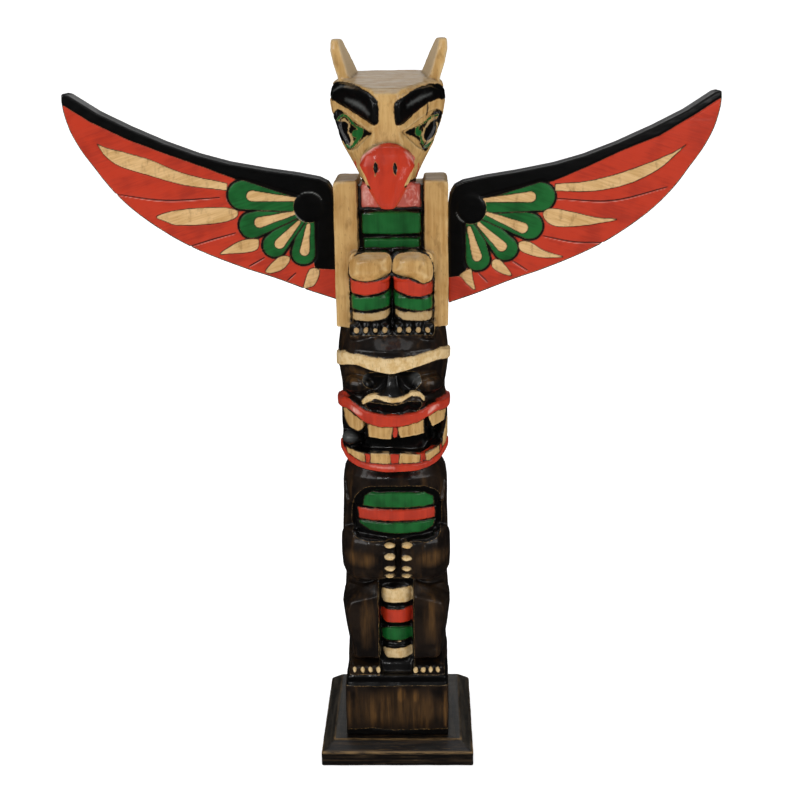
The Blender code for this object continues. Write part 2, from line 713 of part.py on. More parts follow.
def build_wing(name, side, foot, parts):
    """A flat wing board, standing beside the side board with a hairline gap."""
    along = WING_REACH / max(x for x, _ in WING_BOTTOM)
    rise = WING_HEIGHT / max(z for _, z in WING_TOP)
    root = place(side * BOARD_OUTSIDE, 0.0, 0.0).x + side * GAP
    base = place(0.0, 0.0, foot).z
    outline = [(root + side * x * along, base + z * rise) for x, z in WING_TOP + WING_BOTTOM]
    middle = place(0.0, WING_FRONT, 0.0).y + WING_THICKNESS / 2
    upright = Matrix.Translation((0.0, middle, 0.0)) @ Matrix.Rotation(math.pi / 2, 4, "X")
    wing = outline_slab(name, parts, outline, WING_THICKNESS, upright)
    round_edges(wing, WING_ROUNDING, 1, 40)
    paint(wing, name + "_paint", RED)
    return wing


def build_plate(parts):
    """The square plate: an upright edge, a sloped rim above it and a flat top."""
    half = PLATE_SIDE / 2
    side, front, back = half - PLATE_SIDE_SLOPE, half - PLATE_FRONT_SLOPE, half - PLATE_BACK_SLOPE
    built = bmesh.new()
    levels = ((0.0, half, half, half), (PLATE_EDGE, half, half, half), (PLATE_TOP, side, front, back))
    rows = []
    for z, across, ahead, behind in levels:
        corners = ((-across, -ahead), (across, -ahead), (across, behind), (-across, behind))
        rows.append([built.verts.new((x, y, z)) for x, y in corners])
    for lower, upper in zip(rows, rows[1:]):
        for i in range(4):
            j = (i + 1) % 4
            built.faces.new((lower[i], lower[j], upper[j], upper[i]))
    built.faces.new(rows[0])
    built.faces.new(rows[-1])
    plate = object_from_bmesh("base_plate", built, parts)
    round_edges(plate, PLATE_ROUNDING, 2, 12)
    paint(plate, "dark_stained_wood", BROWN)
    return plate


def build_pole(parts):
    """The log: its foot block, then everything that is carved from it."""
    half_width, half_depth = BLOCK_WIDTH / 2, BLOCK_DEPTH / 2
    pole = box("pole", parts, (-half_width, -half_depth, BLOCK_FOOT), (half_width, half_depth, BLOCK_TOP))
    round_edges(pole, BLOCK_ROUNDING, 2)
    pole.modifiers.new("split_faces", "TRIANGULATE")
    forms = new_collection("carved_forms", hidden=True)
    cuts = new_collection("carving_cuts", hidden=True)
    details = new_collection("carved_details", hidden=True)
    build_bear_body(forms, cuts, details)
    build_bear_head(forms, cuts, details)
    build_eagle_body(forms, cuts, details)
    build_eagle_head(forms, cuts, details)
    carve(pole, "add_forms", "UNION", forms)
    carve(pole, "cut_hollows", "DIFFERENCE", cuts)
    carve(pole, "add_details", "UNION", details)
    thin = pole.modifiers.new("thin_facets", "DECIMATE")
    thin.ratio = FACETS_KEPT
    paint(pole, "carved_wood", CREAM)
    return pole


def main():
    for obj in list(bpy.data.objects):
        bpy.data.objects.remove(obj, do_unlink=True)
    parts = new_collection("totem_pole")
    build_plate(parts)
    build_pole(parts)
    build_wing("wing_left", -1, LEFT_WING_FOOT, parts)
    build_wing("wing_right", 1, RIGHT_WING_FOOT, parts)


main()
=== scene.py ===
"""A carved and painted wooden totem pole: a winged eagle above a bear, on a square plate.

Every piece is a fine copy of its solid in the frame. The copy takes the hand-carved surface, the
incised lines and the paint. Paint is kept as distances in millimetres to the edge of each colour,
one attribute for each colour, and the shaders turn these into crisp brushed edges.
"""

import logging
import math
from collections.abc import Sequence
from dataclasses import dataclass, field
from enum import Enum
from typing import Any, Protocol

import bmesh
import bpy
import numpy as np
from mathutils import Matrix, Vector, noise


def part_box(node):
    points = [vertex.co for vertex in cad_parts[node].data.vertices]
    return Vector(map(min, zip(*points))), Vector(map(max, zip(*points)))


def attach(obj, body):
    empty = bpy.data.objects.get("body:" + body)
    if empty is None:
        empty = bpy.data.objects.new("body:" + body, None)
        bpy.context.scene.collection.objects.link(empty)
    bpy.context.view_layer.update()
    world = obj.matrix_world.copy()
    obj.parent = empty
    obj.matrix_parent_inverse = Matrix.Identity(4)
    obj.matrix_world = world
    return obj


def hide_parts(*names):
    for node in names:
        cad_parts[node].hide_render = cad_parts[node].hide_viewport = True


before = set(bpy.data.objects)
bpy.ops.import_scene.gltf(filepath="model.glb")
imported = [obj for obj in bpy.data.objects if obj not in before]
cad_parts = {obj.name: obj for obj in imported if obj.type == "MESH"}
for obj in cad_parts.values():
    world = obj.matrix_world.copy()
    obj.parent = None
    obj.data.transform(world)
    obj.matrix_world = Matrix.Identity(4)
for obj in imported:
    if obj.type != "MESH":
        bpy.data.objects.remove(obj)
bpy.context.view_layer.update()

LOG = logging.getLogger("totem_pole")

MM = 0.001
# Distances to an edge are kept up to this many millimetres
FAR = 3.0
# The height of the grain that the varnish shows
GRAIN_HEIGHT = 0.12 * MM
# Half the width and the depth of the round log, as it is drawn
LOG_HALF = (37.2, 36.0)

Pair = tuple[float, float]
Knot = tuple[float, float, float]


class Paint(Enum):
    """What covers a spot of the carving."""

    BARE = "bare"
    CREAM = "cream"
    STAIN = "stain"
    RED = "red"
    GREEN = "green"
    BLACK = "black"


def linear(code: str) -> tuple[float, float, float, float]:
    """Turns a screen colour into the linear one that shaders take.

    Args:
        code: The colour as six hexadecimal digits.

    Returns:
        Red, green, blue and an alpha of one.
    """
    parts = [int(code[i:i + 2], 16) / 255 for i in (0, 2, 4)]
    red, green, blue = (p / 12.92 if p <= 0.04045 else ((p + 0.055) / 1.055) ** 2.4 for p in parts)
    return (red, green, blue, 1.0)


def smooth_step(low: float, high: float, values: np.ndarray) -> np.ndarray:
    """Rises from 0 at low to 1 at high without a corner."""
    share = np.clip((values - low) / (high - low), 0.0, 1.0)
    return share * share * (3.0 - 2.0 * share)


def curved(points: Sequence[Pair], closed: bool, steps: int = 6) -> np.ndarray:
    """Draws a smooth line through points.

    Args:
        points: The points that it passes, in millimetres.
        closed: Whether it comes back to its start.
        steps: How many pieces lie between two points.

    Returns:
        The line's points, one row each.
    """
    row = np.array(points, float)
    if closed:
        padded = np.vstack([row[-1:], row, row[:2]])
    else:
        padded = np.vstack([2 * row[0] - row[1], row, 2 * row[-1] - row[-2]])
    drawn = []
    for a, b, c, d in zip(padded, padded[1:], padded[2:], padded[3:]):
        for t in np.arange(steps) / steps:
            drawn.append(b + 0.5 * t * ((c - a) + t * ((2 * a - 5 * b + 4 * c - d) + t * (3 * b - a - 3 * c + d))))
    if not closed:
        drawn.append(row[-1])
    return np.array(drawn)


def off_line(x: np.ndarray, z: np.ndarray, line: np.ndarray) -> np.ndarray:
    """Measures how far spots are from a line of straight pieces.

    Args:
        x: The spots' first coordinate.
        z: Their second coordinate.
        line: The line's points.

    Returns:
        The distances, never negative.
    """
    best = np.full(x.shape, np.inf)
    for (ax, az), (bx, bz) in zip(line, line[1:]):
        dx, dz = bx - ax, bz - az
        along = np.clip(((x - ax) * dx + (z - az) * dz) / max(dx * dx + dz * dz, 1e-9), 0.0, 1.0)
        best = np.minimum(best, np.hypot(x - ax - along * dx, z - az - along * dz))
    return best


def within_loop(x: np.ndarray, z: np.ndarray, loop: np.ndarray) -> np.ndarray:
    """Says which spots a closed loop encloses.

    Args:
        x: The spots' first coordinate.
        z: Their second coordinate.
        loop: The loop's points, without the first one again at the end.

    Returns:
        True where the loop encloses the spot.
    """
    odd = np.zeros(x.shape, bool)
    for (ax, az), (bx, bz) in zip(loop, np.roll(loop, -1, axis=0)):
        crossed = (az > z) != (bz > z)
        rise = bz - az if abs(bz - az) > 1e-9 else 1e-9
        odd ^= crossed & (x < ax + (z - az) * (bx - ax) / rise)
    return odd


class Shape(Protocol):
    """A flat area, seen from the front, in millimetres."""

    def reach(self) -> tuple[float, float, float, float]:
        """Gives the lowest and highest x, then the lowest and highest z, that it covers."""

    def inside(self, x: np.ndarray, z: np.ndarray) -> np.ndarray:
        """Gives how far inside the area each spot is, negative outside."""


@dataclass(frozen=True)
class Loop:
    """An area inside a closed line, smooth unless it is to have corners."""

    points: Sequence[Pair]
    smooth: bool = True

    def reach(self) -> tuple[float, float, float, float]:
        """Gives the area's reach."""
        xs, zs = zip(*self.points)
        return min(xs), max(xs), min(zs), max(zs)

    def inside(self, x: np.ndarray, z: np.ndarray) -> np.ndarray:
        """Measures how far inside spots are.

        Args:
            x: The spots' x.
            z: The spots' z.

        Returns:
            The distance to the loop, negative outside it.
        """
        loop = curved(self.points, closed=True) if self.smooth else np.array(self.points, float)
        away = off_line(x, z, np.vstack([loop, loop[:1]]))
        return np.where(within_loop(x, z, loop), away, -away)


@dataclass(frozen=True)
class Band:
    """An area between a lower and an upper edge: its knots are x, lower z and upper z."""

    knots: Sequence[Knot]
    open_ends: bool = True

    def reach(self) -> tuple[float, float, float, float]:
        """Gives the area's reach.

        Returns:
            Lowest and highest x, then lowest and highest z.
        """
        xs, lows, highs = zip(*self.knots)
        spare = 60.0 if self.open_ends else 0.0
        return min(xs) - spare, max(xs) + spare, min(lows), max(highs)

    def inside(self, x: np.ndarray, z: np.ndarray) -> np.ndarray:
        """Measures how far inside spots are.

        Args:
            x: The spots' x.
            z: The spots' z.

        Returns:
            The distance to the nearer edge, negative outside the band.
        """
        xs, lows, highs = (np.array(column) for column in zip(*self.knots))
        away = np.minimum(z - np.interp(x, xs, lows), np.interp(x, xs, highs) - z)
        if not self.open_ends:
            away = np.minimum(away, np.minimum(x - xs[0], xs[-1] - x))
        return away


@dataclass(frozen=True)
class Stroke:
    """A brush or knife stroke along a smooth line, thinner at its ends where it tapers."""

    points: Sequence[Pair]
    width: float
    tapers: bool = True

    def reach(self) -> tuple[float, float, float, float]:
        """Gives the stroke's reach."""
        xs, zs = zip(*self.points)
        return min(xs) - self.width, max(xs) + self.width, min(zs) - self.width, max(zs) + self.width

    def inside(self, x: np.ndarray, z: np.ndarray) -> np.ndarray:
        """Measures how far inside spots are.

        Args:
            x: The spots' x.
            z: The spots' z.

        Returns:
            The distance to the stroke's edge, negative outside it.
        """
        line = curved(self.points, closed=False)
        half = np.full(x.shape, self.width / 2)
        if self.tapers:
            length = float(np.linalg.norm(np.diff(line, axis=0), axis=1).sum())
            first = np.hypot(x - line[0][0], z - line[0][1])
            last = np.hypot(x - line[-1][0], z - line[-1][1])
            half = half * (0.35 + 0.65 * smooth_step(0.0, 0.4 * length, np.minimum(first, last)))
        return half - off_line(x, z, line)


@dataclass(frozen=True)
class Drop:
    """A teardrop: a straight axis with a radius at each end."""

    start: Pair
    end: Pair
    start_radius: float
    end_radius: float

    def reach(self) -> tuple[float, float, float, float]:
        """Gives the drop's reach.

        Returns:
            Lowest and highest x, then lowest and highest z.
        """
        wide = max(self.start_radius, self.end_radius)
        xs, zs = zip(self.start, self.end)
        return min(xs) - wide, max(xs) + wide, min(zs) - wide, max(zs) + wide

    def inside(self, x: np.ndarray, z: np.ndarray) -> np.ndarray:
        """Measures how far inside spots are.

        Args:
            x: The spots' x.
            z: The spots' z.

        Returns:
            The distance to the drop's edge, negative outside it.
        """
        dx, dz = self.end[0] - self.start[0], self.end[1] - self.start[1]
        along = np.clip(((x - self.start[0]) * dx + (z - self.start[1]) * dz) / (dx * dx + dz * dz), 0.0, 1.0)
        radius = self.start_radius + along * (self.end_radius - self.start_radius)
        return radius - np.hypot(x - self.start[0] - along * dx, z - self.start[1] - along * dz)


@dataclass(frozen=True)
class Oval:
    """An ellipse, turned by some degrees against the clock."""

    centre: Pair
    radii: Pair
    turn: float = 0.0

    def reach(self) -> tuple[float, float, float, float]:
        """Gives the oval's reach.

        Returns:
            Lowest and highest x, then lowest and highest z.
        """
        wide = max(self.radii)
        x, z = self.centre
        return x - wide, x + wide, z - wide, z + wide

    def inside(self, x: np.ndarray, z: np.ndarray) -> np.ndarray:
        """Measures how far inside spots are.

        Args:
            x: The spots' x.
            z: The spots' z.

        Returns:
            About the distance to the oval's edge, negative outside it.
        """
        angle = math.radians(self.turn)
        right, up = x - self.centre[0], z - self.centre[1]
        across = (right * math.cos(angle) + up * math.sin(angle)) / self.radii[0]
        along = (up * math.cos(angle) - right * math.sin(angle)) / self.radii[1]
        return (1.0 - np.hypot(across, along)) * min(self.radii)


@dataclass(frozen=True)
class Area:
    """An upright rectangle."""

    left: float
    right: float
    low: float
    high: float

    def reach(self) -> tuple[float, float, float, float]:
        """Gives the area's reach."""
        return self.left, self.right, self.low, self.high

    def inside(self, x: np.ndarray, z: np.ndarray) -> np.ndarray:
        """Measures how far inside spots are."""
        across = np.minimum(x - self.left, self.right - x)
        return np.minimum(across, np.minimum(z - self.low, self.high - z))


@dataclass(frozen=True)
class Patch:
    """One painted area.

    It covers what lies in front of its depth, y, and behind its start, and no nearer to the log's
    axis than its shell, a share of the log's radius. Where it is lined, a dark seam runs round it.
    """

    paint: Paint
    shape: Shape
    depth: float = 99.0
    start: float = -99.0
    shell: float = 0.0
    lined: bool = True


@dataclass(frozen=True)
class RubAndHighlight:
    """A pale mark from 0 to 1: a pale touch or a painted highlight on the paint, or a worn patch on the stain."""

    shape: Shape
    strength: float = 1.0
    depth: float = 99.0
    start: float = -99.0
    softness: float = 0.6


@dataclass(frozen=True)
class Drawing:
    """All that is painted and incised on one piece."""

    patches: Sequence[Patch]
    rubs_and_highlights: Sequence[RubAndHighlight] = ()
    grooves: Sequence[Patch] = ()
    unsteady: float = 1.0


class Canvas:
    """A drawing laid on a piece's vertices, as distances in millimetres."""

    def __init__(self, spots: np.ndarray, drawing: Drawing) -> None:
        """Lays the drawing on.

        Args:
            spots: The vertices in the drawing's millimetres, one row each.
            drawing: What is painted and incised.
        """
        self.x, self.y, self.z = spots.T
        self.unsteady = drawing.unsteady * hand_wobble(spots)
        self.layers = {paint: np.full(len(spots), -FAR) for paint in Paint}
        self.layers[Paint.BARE][:] = FAR
        self.rub_and_highlight = np.zeros(len(spots))
        self.seam = np.full(len(spots), FAR)
        self.groove = np.full(len(spots), FAR)
        for patch in drawing.patches:
            self._coat(patch)
        for rub_and_highlight in drawing.rubs_and_highlights:
            self._rub_and_highlight(rub_and_highlight)
        for groove in drawing.grooves:
            near = self._near(groove.shape, groove.depth, -99.0)
            away = -groove.shape.inside(self.x[near], self.z[near])
            self.groove[near] = np.minimum(self.groove[near], np.maximum(away, 0.0))

    def _near(self, shape: Shape, depth: float, start: float) -> np.ndarray:
        """Finds the vertices that a shape may touch.

        Args:
            shape: The shape.
            depth: The furthest y that it covers.
            start: The nearest y that it covers.

        Returns:
            The vertices' numbers.
        """
        left, right, low, high = shape.reach()
        across = (self.x > left - FAR) & (self.x < right + FAR)
        upright = (self.z > low - FAR) & (self.z < high + FAR)
        return np.nonzero(across & upright & (self.y < depth + FAR) & (self.y > start - FAR))[0]

    def _coat(self, patch: Patch) -> None:
        """Paints one patch over what is there.

        Args:
            patch: The patch.
        """
        near = self._near(patch.shape, patch.depth, patch.start)
        x, y, z = self.x[near], self.y[near], self.z[near]
        inside = patch.shape.inside(x, z) + self.unsteady[near]
        inside = np.minimum(inside, np.minimum(patch.depth - y, y - patch.start))
        if patch.shell:
            around = np.hypot(x / LOG_HALF[0], y / LOG_HALF[1])
            inside = np.minimum(inside, (around - patch.shell) * LOG_HALF[1])
        inside = np.clip(inside, -FAR, FAR)
        seam = np.abs(inside) if patch.lined else np.full(len(near), FAR)
        self.seam[near] = np.where(inside > 0.0, seam, np.minimum(self.seam[near], seam))
        for paint, layer in self.layers.items():
            if paint is patch.paint:
                layer[near] = np.maximum(layer[near], inside)
            else:
                layer[near] = np.minimum(layer[near], -inside)

    def _rub_and_highlight(self, rub_and_highlight: RubAndHighlight) -> None:
        """Lays one pale touch or painted highlight.

        Args:
            rub_and_highlight: The touch.
        """
        near = self._near(rub_and_highlight.shape, rub_and_highlight.depth, rub_and_highlight.start)
        x, y, z = self.x[near], self.y[near], self.z[near]
        inside = np.minimum(rub_and_highlight.shape.inside(x, z), np.minimum(rub_and_highlight.depth - y, y - rub_and_highlight.start))
        touch = rub_and_highlight.strength * smooth_step(-rub_and_highlight.softness, rub_and_highlight.softness, inside)
        self.rub_and_highlight[near] = np.maximum(self.rub_and_highlight[near], touch)

    def line(self) -> np.ndarray:
        """Measures how far each vertex is from an incised line or a lined edge between colours."""
        return np.minimum(self.seam, self.groove)


def hand_wobble(spots: np.ndarray) -> np.ndarray:
    """Makes the small unsteadiness of a hand-held brush, in millimetres.

    Args:
        spots: Vertices in millimetres.

    Returns:
        An offset for the edge of the paint at each vertex.
    """
    coarse = [noise.noise(Vector(spot) * 0.16) for spot in spots.tolist()]
    fine = [noise.noise(Vector(spot) * 0.55 + Vector((7.0, 3.0, 5.0))) for spot in spots.tolist()]
    return 0.55 * np.array(coarse) + 0.35 * np.array(fine)


class Surface:
    """A mesh's vertices, normals and edges as arrays."""

    def __init__(self, mesh: bpy.types.Mesh) -> None:
        """Reads a mesh.

        Args:
            mesh: The mesh.
        """
        self.mesh = mesh
        count = len(mesh.vertices)
        self.points = np.empty(count * 3)
        mesh.vertices.foreach_get("co", self.points)
        self.points = self.points.reshape(-1, 3)
        self.normals = np.empty(count * 3)
        mesh.vertex_normals.foreach_get("vector", self.normals)
        self.normals = self.normals.reshape(-1, 3)
        self.edges = np.empty(len(mesh.edges) * 2, int)
        mesh.edges.foreach_get("vertices", self.edges)
        self.edges = self.edges.reshape(-1, 2)

    def averaged(self, values: np.ndarray, rounds: int) -> np.ndarray:
        """Spreads values to their neighbours.

        Args:
            values: A row of values for each vertex.
            rounds: How often they are spread.

        Returns:
            The spread values.
        """
        count = len(values)
        one, other = self.edges.T
        meeting = np.maximum(np.bincount(self.edges.ravel(), minlength=count), 1)[:, None]
        for _ in range(rounds):
            total = np.stack([
                np.bincount(one, column[other], count) + np.bincount(other, column[one], count)
                for column in values.T
            ], axis=1)
            values = 0.5 * values + 0.5 * total / meeting
        return values

    def bulge(self, rounds: int) -> np.ndarray:
        """Measures how far each vertex stands out from its surroundings, in millimetres."""
        around = self.averaged(self.points, rounds)
        return np.einsum("ij,ij->i", self.points - around, self.normals) / MM

    def raise_by(self, height: np.ndarray) -> None:
        """Moves the vertices out along their normals.

        Args:
            height: How far in millimetres, negative inwards.
        """
        self.points = self.points + self.normals * height[:, None] * MM
        self.mesh.vertices.foreach_set("co", self.points.ravel())
        self.mesh.update()

    def keep(self, name: str, values: np.ndarray) -> None:
        """Stores one number for each vertex."""
        made = self.mesh.attributes.new(name, "FLOAT", "POINT")
        made.data.foreach_set("value", values.astype(np.float32))


@dataclass(frozen=True)
class Kind:
    """A type of node: what its values go to in order, what it gives, and what is set on it."""

    type: str
    takes: tuple[str | int, ...] = ()
    gives: str | int | None = 0
    settings: tuple[tuple[str, Any], ...] = ()
    fixed: tuple[tuple[str, Any], ...] = ()


PLUS, MINUS, TIMES, LESSER, GREATER, SIZE_OF = (
    Kind("ShaderNodeMath", (0, 1), settings=(("operation", word),))
    for word in ("ADD", "SUBTRACT", "MULTIPLY", "MINIMUM", "MAXIMUM", "ABSOLUTE")
)
VECTOR_TIMES = Kind("ShaderNodeVectorMath", (0, 1), settings=(("operation", "MULTIPLY"),))
VECTOR_SCALED = Kind("ShaderNodeVectorMath", (0, "Scale"), settings=(("operation", "SCALE"),))
TURNED = Kind("ShaderNodeVectorRotate", ("Vector", "Angle"), settings=(("rotation_type", "Y_AXIS"),))
# A smooth rise from 0 at the second value to the fourth one, or 1, at the third
RISE = Kind("ShaderNodeMapRange", ("Value", "From Min", "From Max", "To Max"),
            settings=(("interpolation_type", "SMOOTHSTEP"),))
BLEND = Kind("ShaderNodeMix", (0, 6, 7), 2, (("data_type", "RGBA"),))
SHARE = Kind("ShaderNodeMix", (0, 2, 3), 0, (("data_type", "FLOAT"),))
CLOUDS = Kind("ShaderNodeTexNoise", ("Vector", "Scale", "Detail"), fixed=(("Roughness", 0.6),))
SEEDED_CLOUDS = Kind("ShaderNodeTexNoise", ("Vector", "W"), settings=(("noise_dimensions", "4D"),),
                     fixed=(("Scale", 1.0), ("Detail", 1.0)))
KEPT = Kind("ShaderNodeAttribute", (), "Fac")
PLACE = Kind("ShaderNodeTexCoord", (), "Object")
FACING = Kind("ShaderNodeNewGeometry", (), "Normal")
PARTS = Kind("ShaderNodeSeparateXYZ", (0,), None)
BUMP = Kind("ShaderNodeBump", ("Height", "Strength", "Distance"))
SHADER = Kind("ShaderNodeBsdfPrincipled",
              ("Base Color", "Roughness", "Normal", "Specular IOR Level", "Coat Weight", "Coat Roughness"))
MATERIAL_OUT = Kind("ShaderNodeOutputMaterial", ("Surface",), None)
LIGHT_PATH = Kind("ShaderNodeLightPath", (), None)
GROUP_IN = Kind("NodeGroupInput", (), None)
GROUP_OUT = Kind("NodeGroupOutput", ("Geometry",), None)
MADE_REAL = Kind("GeometryNodeRealizeInstances", ("Geometry",))
DRESSED = Kind("GeometryNodeSetMaterial", ("Geometry", "Material"))
SPOT = Kind("GeometryNodeInputPosition")
NORMAL = Kind("GeometryNodeInputNormal")
MOVED = Kind("GeometryNodeSetPosition", ("Geometry", "Offset"))
OBJECT_MESH = Kind("GeometryNodeObjectInfo", ("Object",), "Geometry")
SIZE_KEPT = Kind("GeometryNodeInputNamedAttribute", ("Name",), 0, (("data_type", "FLOAT_VECTOR"),))
ON_POINTS = Kind("GeometryNodeInstanceOnPoints", ("Points", "Instance", "Scale"))


class NodeBuilder:
    """Adds nodes to a tree, each with its settings and links in one call."""

    def __init__(self, tree: bpy.types.NodeTree) -> None:
        """Starts on a tree."""
        self.tree = tree

    def add(self, kind: Kind, *values: Any, **settings: Any) -> Any:
        """Adds one node.

        Args:
            kind: What it is.
            *values: A value or another node's output for each input that the kind takes.
            **settings: Settings beside the kind's own.

        Returns:
            The output that the kind gives, or the node itself where it names none.
        """
        node = self.tree.nodes.new(kind.type)
        for name, value in (*kind.settings, *settings.items()):
            setattr(node, name, value)
        for key, value in (*kind.fixed, *zip(kind.takes, values)):
            if isinstance(value, bpy.types.NodeSocket):
                self.tree.links.new(value, node.inputs[key])
            else:
                node.inputs[key].default_value = value
        return node if kind.gives is None else node.outputs[kind.gives]

    def stretched(self, where: bpy.types.NodeSocket, scale: Sequence[float], turn: float = 0.0) -> bpy.types.NodeSocket:
        """Turns coordinates about Y by some degrees, then scales them by axis."""
        turned = self.add(TURNED, where, math.radians(turn))
        return self.add(VECTOR_TIMES, turned, tuple(scale))


def new_material(name: str) -> tuple[bpy.types.Material, NodeBuilder, bpy.types.NodeSocket]:
    """Starts a material.

    Args:
        name: Its name.

    Returns:
        The material, its nodes and the object's coordinates.
    """
    made = bpy.data.materials.new(name)
    made.use_nodes = True
    made.node_tree.nodes.clear()
    nodes = NodeBuilder(made.node_tree)
    return made, nodes, nodes.add(PLACE)


@dataclass(frozen=True)
class Varnish:
    """How a surface shines under its clear coat, and how strongly its grain stands out."""

    grain: float
    specular: float
    coat: float
    coat_roughness: float

    def end(
        self,
        nodes: NodeBuilder,
        colour: bpy.types.NodeSocket,
        rough: bpy.types.NodeSocket,
        relief: bpy.types.NodeSocket,
    ) -> None:
        """Ends a material.

        Args:
            nodes: The material's nodes.
            colour: Its colour.
            rough: Its roughness.
            relief: The height of its grain.
        """
        bump = nodes.add(BUMP, relief, self.grain, GRAIN_HEIGHT)
        surface = nodes.add(SHADER, colour, rough, bump, self.specular, self.coat, self.coat_roughness)
        nodes.add(MATERIAL_OUT, surface)


@dataclass(frozen=True)
class Tone:
    """A colour and the one that it varies to."""

    main: str
    other: str

    def mixed(self, nodes: NodeBuilder, share: bpy.types.NodeSocket) -> bpy.types.NodeSocket:
        """Mixes the two by a share."""
        return nodes.add(BLEND, share, linear(self.main), linear(self.other))


@dataclass(frozen=True)
class Patterns:
    """What the coats of one material share: its nodes and the patterns made with them."""

    nodes: NodeBuilder
    place: bpy.types.NodeSocket
    streaks: bpy.types.NodeSocket
    pores: bpy.types.NodeSocket
    patches: bpy.types.NodeSocket
    edge: bpy.types.NodeSocket
    rub_and_highlight: bpy.types.NodeSocket


